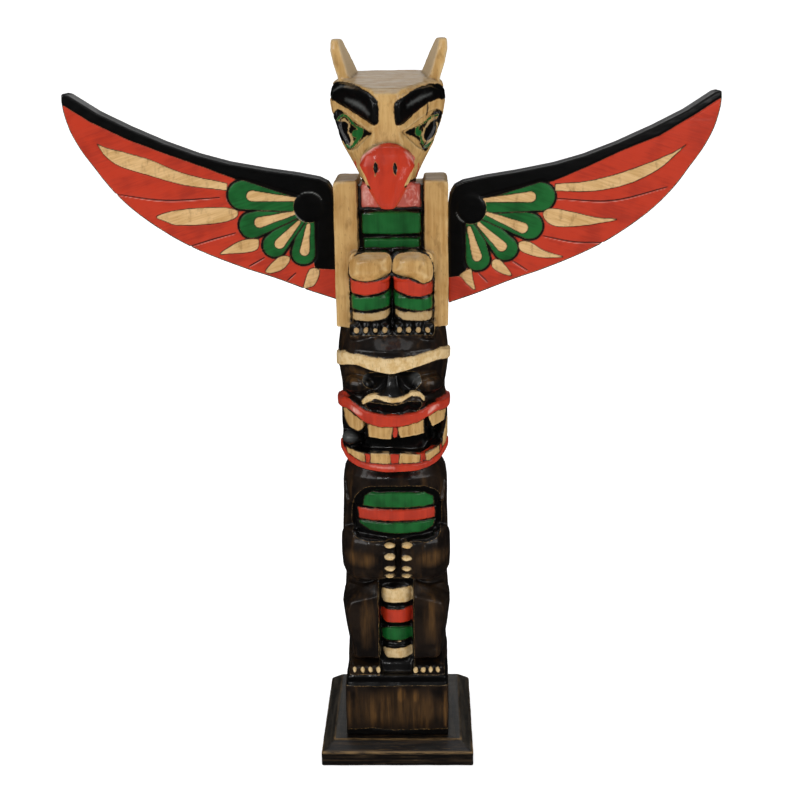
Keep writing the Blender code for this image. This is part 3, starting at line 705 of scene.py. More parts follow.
@dataclass(frozen=True)
class PaintedWood:
    """Pale wood under clear varnish, with brushed enamel paints and dark stain on parts of it.

    The real thing is a soft pale tropical wood with fine open pores, carved with a gouge, painted
    in thin gloss enamel with a small brush, and varnished all over.
    """

    name: str
    grain_turn: float
    grain_axis: int
    bare: Tone = Tone("CBA468", "AD8247")
    bare_blotch: str = "8C6838"
    bare_edge: str = "E3C894"
    bare_pore: str = "5E4017"
    # Painted grey sheen on the bare faces that look up
    dry_and_sheen: Tone = Tone("A8967A", "9A7C50")
    tuft: str = "CDB795"
    cream: Tone = Tone("DDC190", "C9A468")
    cream_pore: str = "86602C"
    tan: str = "9C7C4E"
    stain: Tone = Tone("110C0A", "221810")
    stain_worn: str = "67461D"
    red: Tone = Tone("BD3419", "A52B16")
    # Pale red of thin brush touches and of painted highlights
    red_dry_and_highlight: str = "EFB5A8"
    green: Tone = Tone("17642A", "0E4B1D")
    # Pale green of thin brush touches and of painted highlights
    green_dry_and_highlight: str = "8FC08F"
    black: Tone = Tone("030304", "080706")
    # Grey of painted highlights and pale marks on the black
    black_rubbed_and_highlight: str = "8F9290"
    seam: str = "0D0705"
    gloss: float = 0.24
    varnish: Varnish = Varnish(0.35, 0.28, 0.45, 0.14)
    # How fine the streaks are beside the pole's
    fineness: float = 1.0
    # Half the width, in millimetres, over which one paint fades into the next
    fade: float = 0.22
    # How far from a seam its dark starts to fade and where it ends, in millimetres
    seam_reach: Pair = (0.12, 0.55)
    # Above this height the faces that look sideways are those of the feather tufts
    tufts: float = 470.0 * MM
    # Between these heights cream turns to the tan of the eagle's leg bands
    tan_from: Pair = (298.0 * MM, 306.0 * MM)

    def material(self) -> bpy.types.Material:
        """Makes the material.

        Returns:
            The material.
        """
        made, nodes, place = new_material(self.name)
        grain = self._along_grain(nodes, place, 900.0 * self.fineness, 60.0 * self.fineness)
        given = Patterns(
            nodes,
            place,
            streaks=nodes.add(CLOUDS, grain, 0.35, 4.0),
            pores=nodes.add(CLOUDS, self._along_grain(nodes, place, 1600.0, 220.0), 1.0, 2.0),
            patches=nodes.add(CLOUDS, place, 55.0, 2.0),
            edge=nodes.add(KEPT, attribute_name="edge"),
            rub_and_highlight=nodes.add(KEPT, attribute_name="rub_and_highlight"),
        )
        fray = nodes.add(TIMES, nodes.add(MINUS, nodes.add(CLOUDS, place, 900.0, 2.0), 0.5), 0.5)
        black = self.black.mixed(nodes, given.patches)
        layers = (
            (Paint.STAIN, self._stain(given)),
            (Paint.CREAM, self._cream(given)),
            # The black turns grey under painted highlights and pale marks
            (Paint.BLACK, nodes.add(BLEND, given.rub_and_highlight, black, linear(self.black_rubbed_and_highlight))),
            (Paint.RED, self._brushed(given, self.red, self.red_dry_and_highlight)),
            (Paint.GREEN, self._brushed(given, self.green, self.green_dry_and_highlight)),
        )
        colour = self._bare(given)
        for paint, layer in layers:
            cover = nodes.add(PLUS, nodes.add(KEPT, attribute_name=f"cover_{paint.value}"), fray)
            colour = nodes.add(BLEND, nodes.add(RISE, cover, -self.fade, self.fade), colour, layer)
        line = nodes.add(PLUS, nodes.add(KEPT, attribute_name="line"), nodes.add(TIMES, fray, 0.4))
        seam = nodes.add(MINUS, 1.0, nodes.add(RISE, line, *self.seam_reach))
        colour = nodes.add(BLEND, nodes.add(TIMES, seam, 0.85), colour, linear(self.seam))
        hollow = nodes.add(RISE, nodes.add(TIMES, given.edge, -1.0), 0.1, 0.9, 0.45)
        colour = nodes.add(BLEND, hollow, colour, linear(self.seam))
        rough = nodes.add(PLUS, self.gloss, nodes.add(TIMES, nodes.add(CLOUDS, place, 160.0, 3.0), 0.25))
        relief = nodes.add(PLUS, nodes.add(TIMES, given.streaks, 0.7), nodes.add(TIMES, given.pores, 0.5))
        self.varnish.end(nodes, colour, rough, relief)
        return made

    def _along_grain(
        self, nodes: NodeBuilder, place: bpy.types.NodeSocket, across: float, along: float
    ) -> bpy.types.NodeSocket:
        """Squeezes coordinates across the grain.

        Args:
            nodes: The material's nodes.
            place: The coordinates.
            across: The factor across the grain.
            along: The factor along it.

        Returns:
            The squeezed coordinates.
        """
        scale = [across, across, across]
        scale[self.grain_axis] = along
        return nodes.stretched(place, scale, self.grain_turn)

    def _bare(self, given: Patterns) -> bpy.types.NodeSocket:
        """Colours the bare wood: golden under its varnish and paler on edges, with a painted grey sheen on faces that
        look up.

        Args:
            given: The material's patterns.

        Returns:
            The colour.
        """
        nodes, place = given.nodes, given.place
        tone = nodes.add(PLUS, nodes.add(TIMES, given.streaks, 0.7), nodes.add(TIMES, given.patches, 0.4))
        colour = self.bare.mixed(nodes, nodes.add(RISE, tone, 0.4, 0.72))
        blotch = nodes.add(CLOUDS, nodes.stretched(place, (1.0, 1.0, 0.45)), 210.0, 3.0)
        colour = nodes.add(BLEND, nodes.add(RISE, blotch, 0.52, 0.72, 0.55), colour, linear(self.bare_blotch))
        colour = nodes.add(BLEND, nodes.add(RISE, given.edge, 0.15, 0.9, 0.35), colour, linear(self.bare_edge))
        facing = nodes.add(PARTS, nodes.add(FACING)).outputs
        sideways = nodes.add(RISE, nodes.add(SIZE_OF, facing[0]), 0.3, 0.75, 0.85)
        height = nodes.add(PARTS, place).outputs[2]
        tufts = nodes.add(TIMES, sideways, nodes.add(RISE, height, self.tufts - 4.0 * MM, self.tufts))
        crossing = nodes.add(CLOUDS, nodes.stretched(place, (70.0, 420.0, 420.0)), 1.0, 4.0)
        # Faces that look up take a painted grey sheen; the sideways faces of the tufts take the tuft colour
        dry_and_sheen = self.dry_and_sheen.mixed(nodes, nodes.add(RISE, crossing, 0.4, 0.64))
        dry_and_sheen = nodes.add(BLEND, tufts, dry_and_sheen, linear(self.tuft))
        grey = nodes.add(GREATER, tufts, nodes.add(RISE, facing[2], 0.35, 0.9, 0.8))
        colour = nodes.add(BLEND, grey, colour, dry_and_sheen)
        return nodes.add(BLEND, nodes.add(RISE, given.pores, 0.63, 0.74, 0.5), colour, linear(self.bare_pore))

    def _cream(self, given: Patterns) -> bpy.types.NodeSocket:
        """Colours the cream paint, through which open pores show.

        Args:
            given: The material's patterns.

        Returns:
            The colour.
        """
        nodes = given.nodes
        clouds = nodes.add(CLOUDS, given.place, 260.0, 3.0)
        colour = self.cream.mixed(nodes, nodes.add(RISE, clouds, 0.36, 0.72))
        height = nodes.add(PARTS, given.place).outputs[2]
        colour = nodes.add(BLEND, nodes.add(RISE, height, *self.tan_from, 0.6), colour, linear(self.tan))
        return nodes.add(BLEND, nodes.add(RISE, given.pores, 0.58, 0.7, 0.5), colour, linear(self.cream_pore))

    def _stain(self, given: Patterns) -> bpy.types.NodeSocket:
        """Colours the dark stain, which is worn to golden brown here and there.

        Args:
            given: The material's patterns.

        Returns:
            The colour.
        """
        nodes = given.nodes
        colour = self.stain.mixed(nodes, nodes.add(RISE, given.patches, 0.4, 0.65))
        broad = nodes.add(CLOUDS, self._along_grain(nodes, given.place, 160.0, 22.0), 1.0, 3.0)
        worn = nodes.add(TIMES, given.rub_and_highlight, nodes.add(PLUS, 0.5, nodes.add(RISE, broad, 0.3, 0.65, 0.8)))
        worn = nodes.add(PLUS, worn, nodes.add(RISE, broad, 0.5, 0.78, 0.3))
        worn = nodes.add(PLUS, worn, nodes.add(RISE, given.edge, 0.4, 1.0, 0.08))
        worn = nodes.add(TIMES, worn, nodes.add(PLUS, 0.35, nodes.add(RISE, given.streaks, 0.36, 0.62, 0.75)))
        return nodes.add(BLEND, nodes.add(LESSER, worn, 0.9), colour, linear(self.stain_worn))

    def _brushed(self, given: Patterns, tone: Tone, dry_and_sheen: str) -> bpy.types.NodeSocket:
        """Colours a brushed paint, with its pale touches from a thinly loaded brush and its painted highlights.

        Args:
            given: The material's patterns.
            tone: The paint's colour and what it varies to.
            dry_and_sheen: The colour of the pale touches and painted highlights.

        Returns:
            The colour.
        """
        nodes = given.nodes
        uneven = nodes.add(PLUS, nodes.add(TIMES, given.streaks, 0.4), nodes.add(TIMES, given.patches, 0.6))
        colour = tone.mixed(nodes, nodes.add(RISE, uneven, 0.42, 0.66))
        streaky = nodes.add(PLUS, 0.55, nodes.add(RISE, given.streaks, 0.3, 0.62, 0.4))
        return nodes.add(BLEND, nodes.add(TIMES, given.rub_and_highlight, streaky), colour, linear(dry_and_sheen))


@dataclass(frozen=True)
class StainedPlate:
    """Dark stained wood, worn to brown on its edges.

    The real thing is a machined square of the same wood, brushed along its sides with dark stain.
    """

    name: str
    dark: Tone = Tone("1E1B17", "3B352C")
    bevel: Tone = Tone("0C0806", "33230F")
    worn: str = "86683C"
    gloss: float = 0.34
    varnish: Varnish = Varnish(0.4, 0.5, 0.3, 0.16)
    # How far in front of the middle the dark of the plate turns to that of its front slope
    slope_from: Pair = (34.0 * MM, 38.0 * MM)

    def material(self) -> bpy.types.Material:
        """Makes the material.

        Returns:
            The material.
        """
        made, nodes, place = new_material(self.name)
        parts = nodes.add(PARTS, place).outputs
        beside = nodes.add(MINUS, nodes.add(SIZE_OF, parts[0]), nodes.add(SIZE_OF, parts[1]))
        flank = nodes.add(RISE, beside, -1.0 * MM, 1.0 * MM)
        streaks = self._brushed(nodes, place, flank, 1.0)
        fine = self._brushed(nodes, place, flank, 3.6)
        grey = self.dark.mixed(nodes, nodes.add(RISE, streaks, 0.4, 0.66))
        brown = self.bevel.mixed(nodes, nodes.add(RISE, streaks, 0.45, 0.7))
        ahead = nodes.add(RISE, nodes.add(TIMES, parts[1], -1.0), *self.slope_from)
        colour = nodes.add(BLEND, nodes.add(TIMES, ahead, nodes.add(MINUS, 1.0, flank)), grey, brown)
        worn = nodes.add(TIMES, nodes.add(KEPT, attribute_name="rub_and_highlight"), nodes.add(RISE, fine, 0.36, 0.56))
        worn = nodes.add(PLUS, worn, nodes.add(RISE, fine, 0.6, 0.72, 0.35))
        colour = nodes.add(BLEND, nodes.add(LESSER, worn, 0.92), colour, linear(self.worn))
        rough = nodes.add(PLUS, self.gloss, nodes.add(TIMES, streaks, 0.25))
        self.varnish.end(nodes, colour, rough, fine)
        return made

    def _brushed(
        self, nodes: NodeBuilder, place: bpy.types.NodeSocket, flank: bpy.types.NodeSocket, finer: float
    ) -> bpy.types.NodeSocket:
        """Adds brush streaks that run along each side of the square.

        Args:
            nodes: The material's nodes.
            place: The coordinates.
            flank: One on the left and the right side, zero on the others.
            finer: How much finer the streaks are than the broad ones.

        Returns:
            The streaks.
        """
        along, across, up = 28.0 * finer, 420.0 * finer, 620.0 * finer
        lying = nodes.add(CLOUDS, nodes.stretched(place, (along, across, up)), 1.0, 4.0)
        running = nodes.add(CLOUDS, nodes.stretched(place, (across, along, up)), 1.0, 4.0)
        return nodes.add(SHARE, flank, lying, running)


# The bear's bands, as x with the lower and the upper z
BROW = (
    (-38.5, 282.0, 291.4), (-32.4, 285.4, 295.0), (-24.0, 287.0, 294.8), (-11.8, 283.1, 293.6), (1.0, 281.6, 292.9),
    (16.4, 285.8, 294.6), (28.5, 288.6, 296.6), (33.0, 288.4, 297.0), (38.5, 286.4, 293.6),
)
NOSE = (
    (-20.5, 260.5, 264.4), (-17.5, 263.4, 268.6), (-12.0, 266.4, 270.2), (-6.0, 264.6, 268.2), (0.0, 263.2, 266.8),
    (6.5, 264.2, 267.8), (13.0, 267.8, 271.4), (18.5, 266.6, 271.0), (21.5, 262.6, 267.0),
)
UPPER_LIP = (
    (-37.5, 254.0, 261.0), (-32.6, 256.0, 264.6), (-28.9, 255.2, 263.4), (-24.4, 252.4, 260.8), (-18.9, 248.6, 258.4),
    (-8.0, 246.5, 255.8), (4.0, 246.6, 255.4), (16.0, 249.0, 257.0), (24.0, 252.0, 259.7), (30.0, 254.3, 261.8),
    (37.5, 252.8, 260.2),
)
LOWER_LIP = (
    (-36.5, 222.0, 229.0), (-31.0, 217.6, 223.5), (-21.3, 215.6, 220.6), (-8.8, 214.6, 220.6), (1.0, 214.4, 221.0),
    (15.7, 214.8, 220.4), (23.8, 215.8, 220.8), (31.5, 218.2, 224.0), (36.5, 223.0, 230.0),
)
MOUTH = (
    (-37.5, 222.0, 259.0), (-31.0, 219.0, 257.0), (0.0, 217.0, 248.5), (31.0, 219.0, 256.0), (37.5, 223.0, 258.0),
)
TEETH = (
    ((-33.7, 257.6), (-19.0, 249.0), (-18.2, 246.0), (-23.3, 241.7), (-30.3, 242.9), (-33.7, 249.0)),
    ((-17.3, 250.0), (0.2, 248.0), (-1.1, 237.5), (-16.6, 238.6)),
    ((2.7, 248.0), (20.8, 250.4), (20.4, 240.4), (4.6, 238.6)),
    ((22.9, 253.0), (36.4, 257.0), (34.9, 245.2), (26.5, 243.5)),
    ((-31.6, 219.0), (-32.6, 227.0), (-19.6, 227.2), (-18.8, 218.6)),
    ((-16.1, 218.6), (-15.6, 228.0), (-2.9, 228.8), (-1.3, 218.6)),
    ((2.8, 218.6), (4.5, 228.7), (18.2, 226.0), (17.4, 218.6)),
    ((22.0, 218.6), (21.4, 226.2), (31.0, 229.0), (31.4, 220.0)),
    ((33.2, 224.0), (32.8, 233.0), (36.0, 244.0), (39.0, 244.0), (39.0, 224.0)),
)
# How near to the log's axis the paint of the lips and teeth reaches
MOUTH_SHELL = 0.87
# Each toenail, claw and drop: x, y and z of its middle, then half its width, depth and height
TOES = tuple((x, -35.2, z, 1.7, 1.7, 2.9) for x, z in (
    (-29.8, 66.5), (-24.2, 66.4), (-18.8, 66.5), (-13.0, 66.4), (13.5, 66.0), (19.0, 66.0), (24.0, 66.4), (29.0, 66.4)
))
FINGERS = tuple((x, -31.8, z, wide, 4.2, tall) for x, z, wide, tall in (
    (-3.9, 160.2, 3.9, 2.1), (-3.4, 151.6, 3.8, 2.4), (-3.3, 142.9, 3.8, 2.1), (-4.2, 137.4, 3.6, 1.2),
    (8.4, 160.2, 3.5, 2.4), (7.8, 150.8, 3.8, 2.4), (8.0, 142.9, 3.6, 2.1), (8.0, 137.3, 3.6, 1.2),
))
EAGLE_CLAWS = tuple((side * (4.8 + 6.3 * toe), -21.6, 309.8, 1.6, 1.6, 1.7) for side in (-1, 1) for toe in range(4))
GUM_DROP = (1.1, -34.0, 243.0, 1.7, 1.5, 5.2)
PANEL = (
    (-30.0, 170.0), (-29.0, 186.0), (-25.0, 195.0), (-17.0, 200.4), (2.0, 201.4), (20.0, 200.0), (29.0, 194.6),
    (32.0, 186.0), (32.0, 170.0), (29.0, 163.0), (20.0, 161.6), (0.0, 162.4), (-24.0, 162.4),
)

# The black at the block's foot and head
BLOCK_FOOT = ((-38, 0, 20.4), (-18, 0, 21.2), (-1, 0, 19.6), (15, 0, 20.2), (38, 0, 21.0))
BLOCK_HEAD = ((-38, 55.0, 62.0), (-8, 54.4, 62.0), (12, 55.2, 62.0), (38, 54.8, 62.0))
# The black over the bridge of the bear's nose and under it
BRIDGE = ((-14, 282), (-20, 276), (-14, 270), (0, 266.8), (14, 270), (19, 277), (12, 283))
UNDER_NOSE = ((-18, 264), (-8, 263), (2, 262), (10, 264), (19, 264), (16, 257), (0, 254), (-15, 257))
BELLY = (
    (Paint.GREEN, ((-24.9, 174.7), (-24.6, 172.7), (-17.1, 168.4), (-0.6, 166.4), (17.3, 166.4), (26.4, 169.2),
                   (27.6, 174.4))),
    (Paint.RED, ((-25.4, 175.8), (-25.6, 184.0), (0.0, 184.3), (27.6, 183.7), (27.8, 175.6), (0.0, 175.4))),
    (Paint.GREEN, ((-22.0, 185.6), (-20.6, 193.4), (-16.4, 196.0), (2, 196.9), (20.9, 195.4), (26.6, 191.6),
                   (27.4, 185.2))),
)
APRON = (
    (Paint.CREAM, ((-9.4, 123.4), (-4.1, 124.2), (2.9, 124.8), (9.9, 124.4), (11.6, 122.0), (12.0, 116.6),
                   (10.6, 113.2), (-0.1, 113.4), (-7.8, 113.2), (-10.4, 116.8))),
    (Paint.RED, ((-10.7, 107.8), (-4.4, 108.2), (4.1, 108.4), (10.8, 109.0), (12.0, 107.4), (12.0, 100.6),
                 (9.6, 97.4), (-0.3, 97.8), (-7.4, 97.6), (-10.6, 101.0))),
    (Paint.GREEN, ((-10.0, 91.8), (-4.6, 94.2), (3.9, 94.2), (10.8, 92.8), (11.8, 89.4), (11.2, 85.0),
                   (3.8, 84.2), (-3.3, 84.2), (-9.0, 84.4), (-10.4, 87.0))),
    (Paint.CREAM, ((-9.1, 77.6), (-0.6, 78.0), (6.5, 78.6), (10.7, 79.0), (11.5, 75.2), (11.1, 71.6),
                   (6.4, 70.4), (-0.7, 70.0), (-7.1, 70.2), (-9.6, 73.8))),
)


def bear_patches() -> list[Patch]:
    """Draws the paint of the bear and of the block below it.

    Returns:
        The patches, later ones over earlier ones.
    """
    made = [
        Patch(Paint.STAIN, Area(-60, 60, 0, 309.0)),
        Patch(Paint.BLACK, Band(BLOCK_FOOT), lined=False),
        Patch(Paint.BLACK, Band(BLOCK_HEAD), lined=False),
        Patch(Paint.BLACK, Area(-12.4, 12.4, 58.0, 131.0), -8.0, lined=False),
        Patch(Paint.BLACK, Loop(PANEL), 0.0, lined=False),
        Patch(Paint.BLACK, Band(MOUTH), 16.0),
        Patch(Paint.BLACK, Loop(BRIDGE), -8.0, lined=False),
        Patch(Paint.BLACK, Loop(UNDER_NOSE), -8.0, lined=False),
    ]
    made += [Patch(paint, Loop(points, False), 0.0) for paint, points in BELLY]
    made += [Patch(paint, Loop(points), -10.0, -28.5) for paint, points in APRON]
    made.append(Patch(Paint.CREAM, Stroke(((-8.3, 82.2), (-0.5, 82.2), (6.6, 82.6), (11.0, 82.8)), 0.6), -12.0, -28.5))
    for x, y, z, wide, deep, tall in (*TOES, *FINGERS):
        made.append(Patch(Paint.CREAM, Oval((x, z), (wide + 0.1, tall + 0.1)), y + 0.1 * deep))
    made += [
        Patch(Paint.RED, Band(((-34, 219.0, 226.6), (0, 217.0, 227.4),
                              (34, 219.0, 229.0)), False), -6.0, shell=MOUTH_SHELL),
        Patch(Paint.RED, Loop(((-0.8, 250.0), (-0.9, 244.0), (-0.2, 239.0), (1.4, 237.6), (3.0, 239.4),
                              (3.2, 250.0)), False),
              -20.0, shell=MOUTH_SHELL),
        Patch(Paint.RED, Area(33.6, 38.4, 222.0, 233.0), 6.0, shell=MOUTH_SHELL),
    ]
    made += [Patch(Paint.BARE, Loop(tooth, False), 4.0, shell=MOUTH_SHELL) for tooth in TEETH]
    made += [
        Patch(Paint.RED, Band(UPPER_LIP), 16.0),
        Patch(Paint.RED, Band(LOWER_LIP), 12.0, shell=MOUTH_SHELL),
        Patch(Paint.CREAM, Band(BROW), 12.0),
        Patch(Paint.CREAM, Band(NOSE, False), -31.0),
    ]
    return made


THIGHS = (
    ((-27.0, 346.0), (-27.6, 352.0), (-26.2, 357.2), (-22.4, 360.2), (-13.9, 361.4), (-3.2, 360.9), (-0.2, 357.9),
     (0.3, 353.0), (-0.2, 348.5), (-3.2, 346.4), (-7.4, 344.3), (-13.3, 342.6), (-18.7, 342.4), (-23.8, 343.6)),
    ((1.0, 348.2), (0.8, 353.0), (2.4, 358.4), (6.6, 360.8), (14.4, 361.5), (21.2, 360.4), (25.6, 356.7),
     (27.2, 350.8), (27.0, 344.8), (25.0, 342.0), (21.1, 340.7), (17.7, 342.2), (12.3, 344.5), (6.4, 345.6)),
)
LEG_BANDS = (
    (Paint.CREAM, ((-26.7, 321.5), (-17.8, 320.6), (-7.8, 321.8), (-1.4, 323.0), (-0.9, 320.5), (-2.9, 317.5),
                   (-7.9, 316.0), (-17.9, 315.2), (-26.6, 316.0))),
    (Paint.CREAM, ((1.6, 323.0), (8.0, 321.9), (17.0, 321.6), (26.9, 321.8), (27.0, 318.2), (25.8, 316.0),
                   (16.9, 315.1), (7.0, 316.4), (2.5, 319.5))),
    (Paint.GREEN, ((-27.2, 332.9), (-21.0, 331.4), (-13.6, 331.5), (-5.6, 333.3), (-0.6, 335.9), (-0.6, 330.6),
                   (-1.2, 325.4), (-5.8, 324.1), (-13.8, 322.8), (-20.7, 322.6), (-26.9, 323.5))),
    (Paint.GREEN, ((1.0, 335.1), (7.2, 332.4), (12.1, 330.3), (21.0, 330.4), (26.9, 331.7), (27.2, 327.3),
                   (26.8, 323.5), (21.9, 322.4), (14.0, 322.5), (6.1, 324.1), (1.1, 326.0))),
    (Paint.RED, ((-27.3, 344.4), (-23.7, 342.9), (-17.4, 341.6), (-10.5, 342.2), (-4.5, 344.6), (-0.5, 346.9),
                 (-0.5, 341.7), (-1.0, 337.4), (-6.6, 334.7), (-14.6, 333.0), (-21.5, 333.0), (-27.2, 334.6))),
    (Paint.RED, ((1.0, 346.6), (5.4, 344.9), (11.3, 343.8), (16.2, 341.4), (21.1, 339.9), (27.0, 342.0),
                 (27.3, 337.4), (26.9, 332.8), (21.0, 331.8), (12.1, 331.9), (8.2, 334.0), (1.1, 336.5))),
)
BROW_LEFT = (
    (-30.9, 469.1), (-22.3, 468.2), (-13.1, 463.9), (-7.7, 460.3), (-6.0, 457.0), (-6.3, 449.4), (-7.6, 444.6),
    (-11.7, 445.1), (-19.0, 449.4), (-26.5, 453.3), (-34.1, 457.2), (-37.5, 458.3), (-39.6, 461.4), (-38.3, 465.4),
    (-34.8, 468.4),
)
BROW_RIGHT = (
    (6.2, 459.3), (11.3, 461.4), (15.7, 465.0), (21.8, 466.7), (29.0, 467.5), (33.5, 466.0), (37.7, 462.4),
    (37.2, 457.8), (30.7, 458.2), (26.2, 456.8), (21.7, 454.2), (16.4, 450.7), (11.1, 446.0), (6.8, 444.3),
    (4.3, 445.4), (3.7, 451.8), (4.3, 456.9),
)
EYE_LEFT = (
    (-34.3, 451.7), (-31.4, 451.6), (-26.6, 448.0), (-21.0, 444.0), (-13.2, 439.4), (-11.4, 438.5), (-16.5, 435.2),
    (-21.4, 430.8), (-24.3, 427.5), (-27.2, 427.6), (-30.9, 433.5), (-33.7, 438.7), (-36.0, 444.7), (-36.8, 448.2),
)
EYE_RIGHT = (
    (32.5, 451.1), (33.9, 448.7), (32.5, 444.0), (31.1, 437.9), (28.8, 433.3), (25.1, 428.4), (22.9, 425.5),
    (20.6, 429.3), (18.9, 433.0), (15.4, 436.0), (10.5, 438.7), (16.3, 441.2), (22.6, 444.9), (27.1, 448.5),
    (29.8, 450.6),
)
GREEN_LEFT = (
    (-33.7, 445.3), (-32.0, 447.6), (-29.0, 448.5), (-25.7, 446.7), (-23.0, 443.4), (-19.7, 441.5), (-16.9, 440.0),
    (-17.9, 436.4), (-20.8, 433.1), (-23.3, 430.2), (-25.2, 428.5), (-28.1, 430.2), (-29.5, 432.3),
)
GREEN_RIGHT = (
    (31.1, 448.1), (28.0, 447.1), (24.3, 445.2), (21.2, 442.9), (17.6, 440.6), (17.6, 438.0), (19.8, 435.1),
    (21.6, 431.0), (23.3, 428.6), (25.6, 430.5), (27.9, 432.9),
)
CRESCENT_LEFT = (
    (-31.8, 444.8), (-29.1, 445.5), (-26.7, 444.5), (-25.7, 441.8), (-26.7, 438.8), (-25.1, 435.8), (-24.0, 432.8),
    (-25.2, 430.5),
)
CRESCENT_RIGHT = (
    (29.6, 446.0), (27.5, 445.2), (25.0, 443.4), (23.0, 440.5), (21.6, 437.1), (21.8, 434.0), (23.3, 431.5),
    (25.0, 431.7), (27.4, 433.4), (29.5, 436.3), (30.4, 439.8), (30.5, 443.3),
)
BEAK = (
    (-18.6, 421.4), (-16.6, 425.2), (-11.8, 429.4), (-6.3, 432.0), (-0.8, 432.9), (5.6, 431.8), (10.8, 428.8),
    (14.6, 424.9), (16.6, 421.2), (14.9, 417.0), (11.8, 412.0), (9.4, 405.0), (7.0, 398.0), (3.6, 391.0), (-1.2, 389.0),
    (-6.0, 391.0), (-8.8, 398.0), (-11.4, 405.0), (-14.2, 412.0), (-17.0, 417.0),
)


def eagle_patches() -> list[Patch]:
    """Draws the paint of the eagle on the pole.

    Returns:
        The patches, later ones over earlier ones.
    """
    made = [
        Patch(Paint.BLACK, Area(-28.3, 28.3, 306.0, 349.0), 4.0, lined=False),
        Patch(Paint.BLACK, Area(-21.5, 21.5, 345.0, 407.0), 4.0),
        Patch(Paint.BLACK, Loop(((-28.3, 345), (-28.3, 349), (-27.5, 354), (-24.9, 358.9), (-21.5, 362.3),
                                 (21.5, 362.3),
                                 (24.9, 358.9), (27.5, 354), (28.3, 349), (28.3, 345)), False), 4.0),
        Patch(Paint.RED, Area(-19.8, 19.8, 388.8, 405.4), 0.0),
        Patch(Paint.GREEN, Loop(((-19.6, 372.0), (-19.4, 385.4), (0, 386.9), (19.8, 385.6), (20.2, 372.2), (0, 370.9)),
                                False), 0.0),
        Patch(Paint.GREEN, Area(-18.6, 19.2, 362.8, 369.0), 0.0),
    ]
    made += [Patch(paint, Loop(points, False), 0.0) for paint, points in LEG_BANDS]
    made += [Patch(Paint.BARE, Loop(points), 0.0, lined=False) for points in THIGHS]
    for x, y, z, wide, _, tall in EAGLE_CLAWS:
        made.append(Patch(Paint.CREAM, Oval((x, z), (wide, tall)), y + 0.4, lined=False))
    made += [
        Patch(Paint.BLACK, Loop(BROW_LEFT), 8.0),
        Patch(Paint.BLACK, Loop(BROW_RIGHT), 8.0),
        Patch(Paint.BLACK, Loop(EYE_LEFT), 8.0),
        Patch(Paint.BLACK, Loop(EYE_RIGHT), 8.0),
        Patch(Paint.GREEN, Stroke(GREEN_LEFT, 1.5, False), 6.0, lined=False),
        Patch(Paint.GREEN, Stroke(GREEN_RIGHT, 1.4, False), 6.0, lined=False),
        Patch(Paint.GREEN, Oval((-20.6, 437.8), (3.4, 2.3), 30.0), 6.0, lined=False),
        Patch(Paint.GREEN, Oval((18.8, 437.8), (2.3, 2.1)), 6.0, lined=False),
        Patch(Paint.BLACK, Oval((-28.7, 437.3), (4.4, 6.6), 14.0), 6.0, lined=False),
        Patch(Paint.CREAM, Stroke(CRESCENT_LEFT, 1.3, False), 6.0, lined=False),
        Patch(Paint.CREAM, Stroke(CRESCENT_RIGHT, 1.5, False), 6.0, lined=False),
        Patch(Paint.BLACK, Oval((26.9, 438.4), (2.7, 5.4), -18.0), 6.0, lined=False),
        Patch(Paint.RED, Stroke(((18.8, 419.6), (18.2, 414.0), (16.7, 408.0)), 0.9), 8.0, -30.0, lined=False),
        Patch(Paint.RED, Stroke(((-22.7, 422.0), (-22.4, 416.0), (-21.0, 411.0)), 0.8), 8.0, -30.0, lined=False),
        Patch(Paint.RED, Loop(BEAK), -20.0, lined=False),
        Patch(Paint.BLACK, Oval((-8.1, 418.0), (1.6, 4.2)), -18.0, lined=False),
        Patch(Paint.BLACK, Oval((4.0, 418.0), (1.5, 4.2)), -18.0, lined=False),
    ]
    return made


# Where the dark stain is worn to golden brown, how much and how softly
WORN = (
    (Oval((-24.1, 149.4), (9.5, 5.0)), 0.6, 3.0),
    (Oval((25.6, 149.6), (9.0, 5.4)), 0.6, 3.0),
    (Oval((-20.8, 101.0), (3.6, 17.0)), 0.3, 3.0),
    (Oval((24.6, 104.0), (4.4, 17.0)), 0.42, 3.0),
    (Oval((3.3, 47.2), (3.0, 5.6)), 0.95, 1.6),
    (Oval((13.5, 46.2), (2.2, 5.0)), 0.95, 1.4),
    (Stroke(((-33.8, 50.0), (-33.8, 24.0)), 3.0), 0.8, 1.6),
    (Stroke(((34.4, 50.0), (34.2, 23.0)), 2.4), 0.9, 1.4),
    (Oval((-1.0, 37.0), (30.0, 13.0)), 0.42, 6.0),
    (Oval((-26.4, 279.4), (7.4, 4.2)), 0.5, 2.0),
    (Oval((21.6, 277.6), (8.0, 3.8)), 0.3, 2.0),
)


def scribble(centre: Pair, radii: Pair, turns: int = 3) -> list[Pair]:
    """Draws a loose spiral, as a brush that is nearly out of paint leaves it.

    Args:
        centre: Its middle.
        radii: Its half width and half height.
        turns: How often it goes round.

    Returns:
        The spiral's points, from the middle outwards.
    """
    steps = 8 * turns
    made = []
    for i in range(steps + 1):
        angle, reach = 2.0 * math.pi * i / 8, 0.2 + 0.8 * i / steps
        made.append((centre[0] + radii[0] * reach * math.cos(angle), centre[1] + radii[1] * reach * math.sin(angle)))
    return made


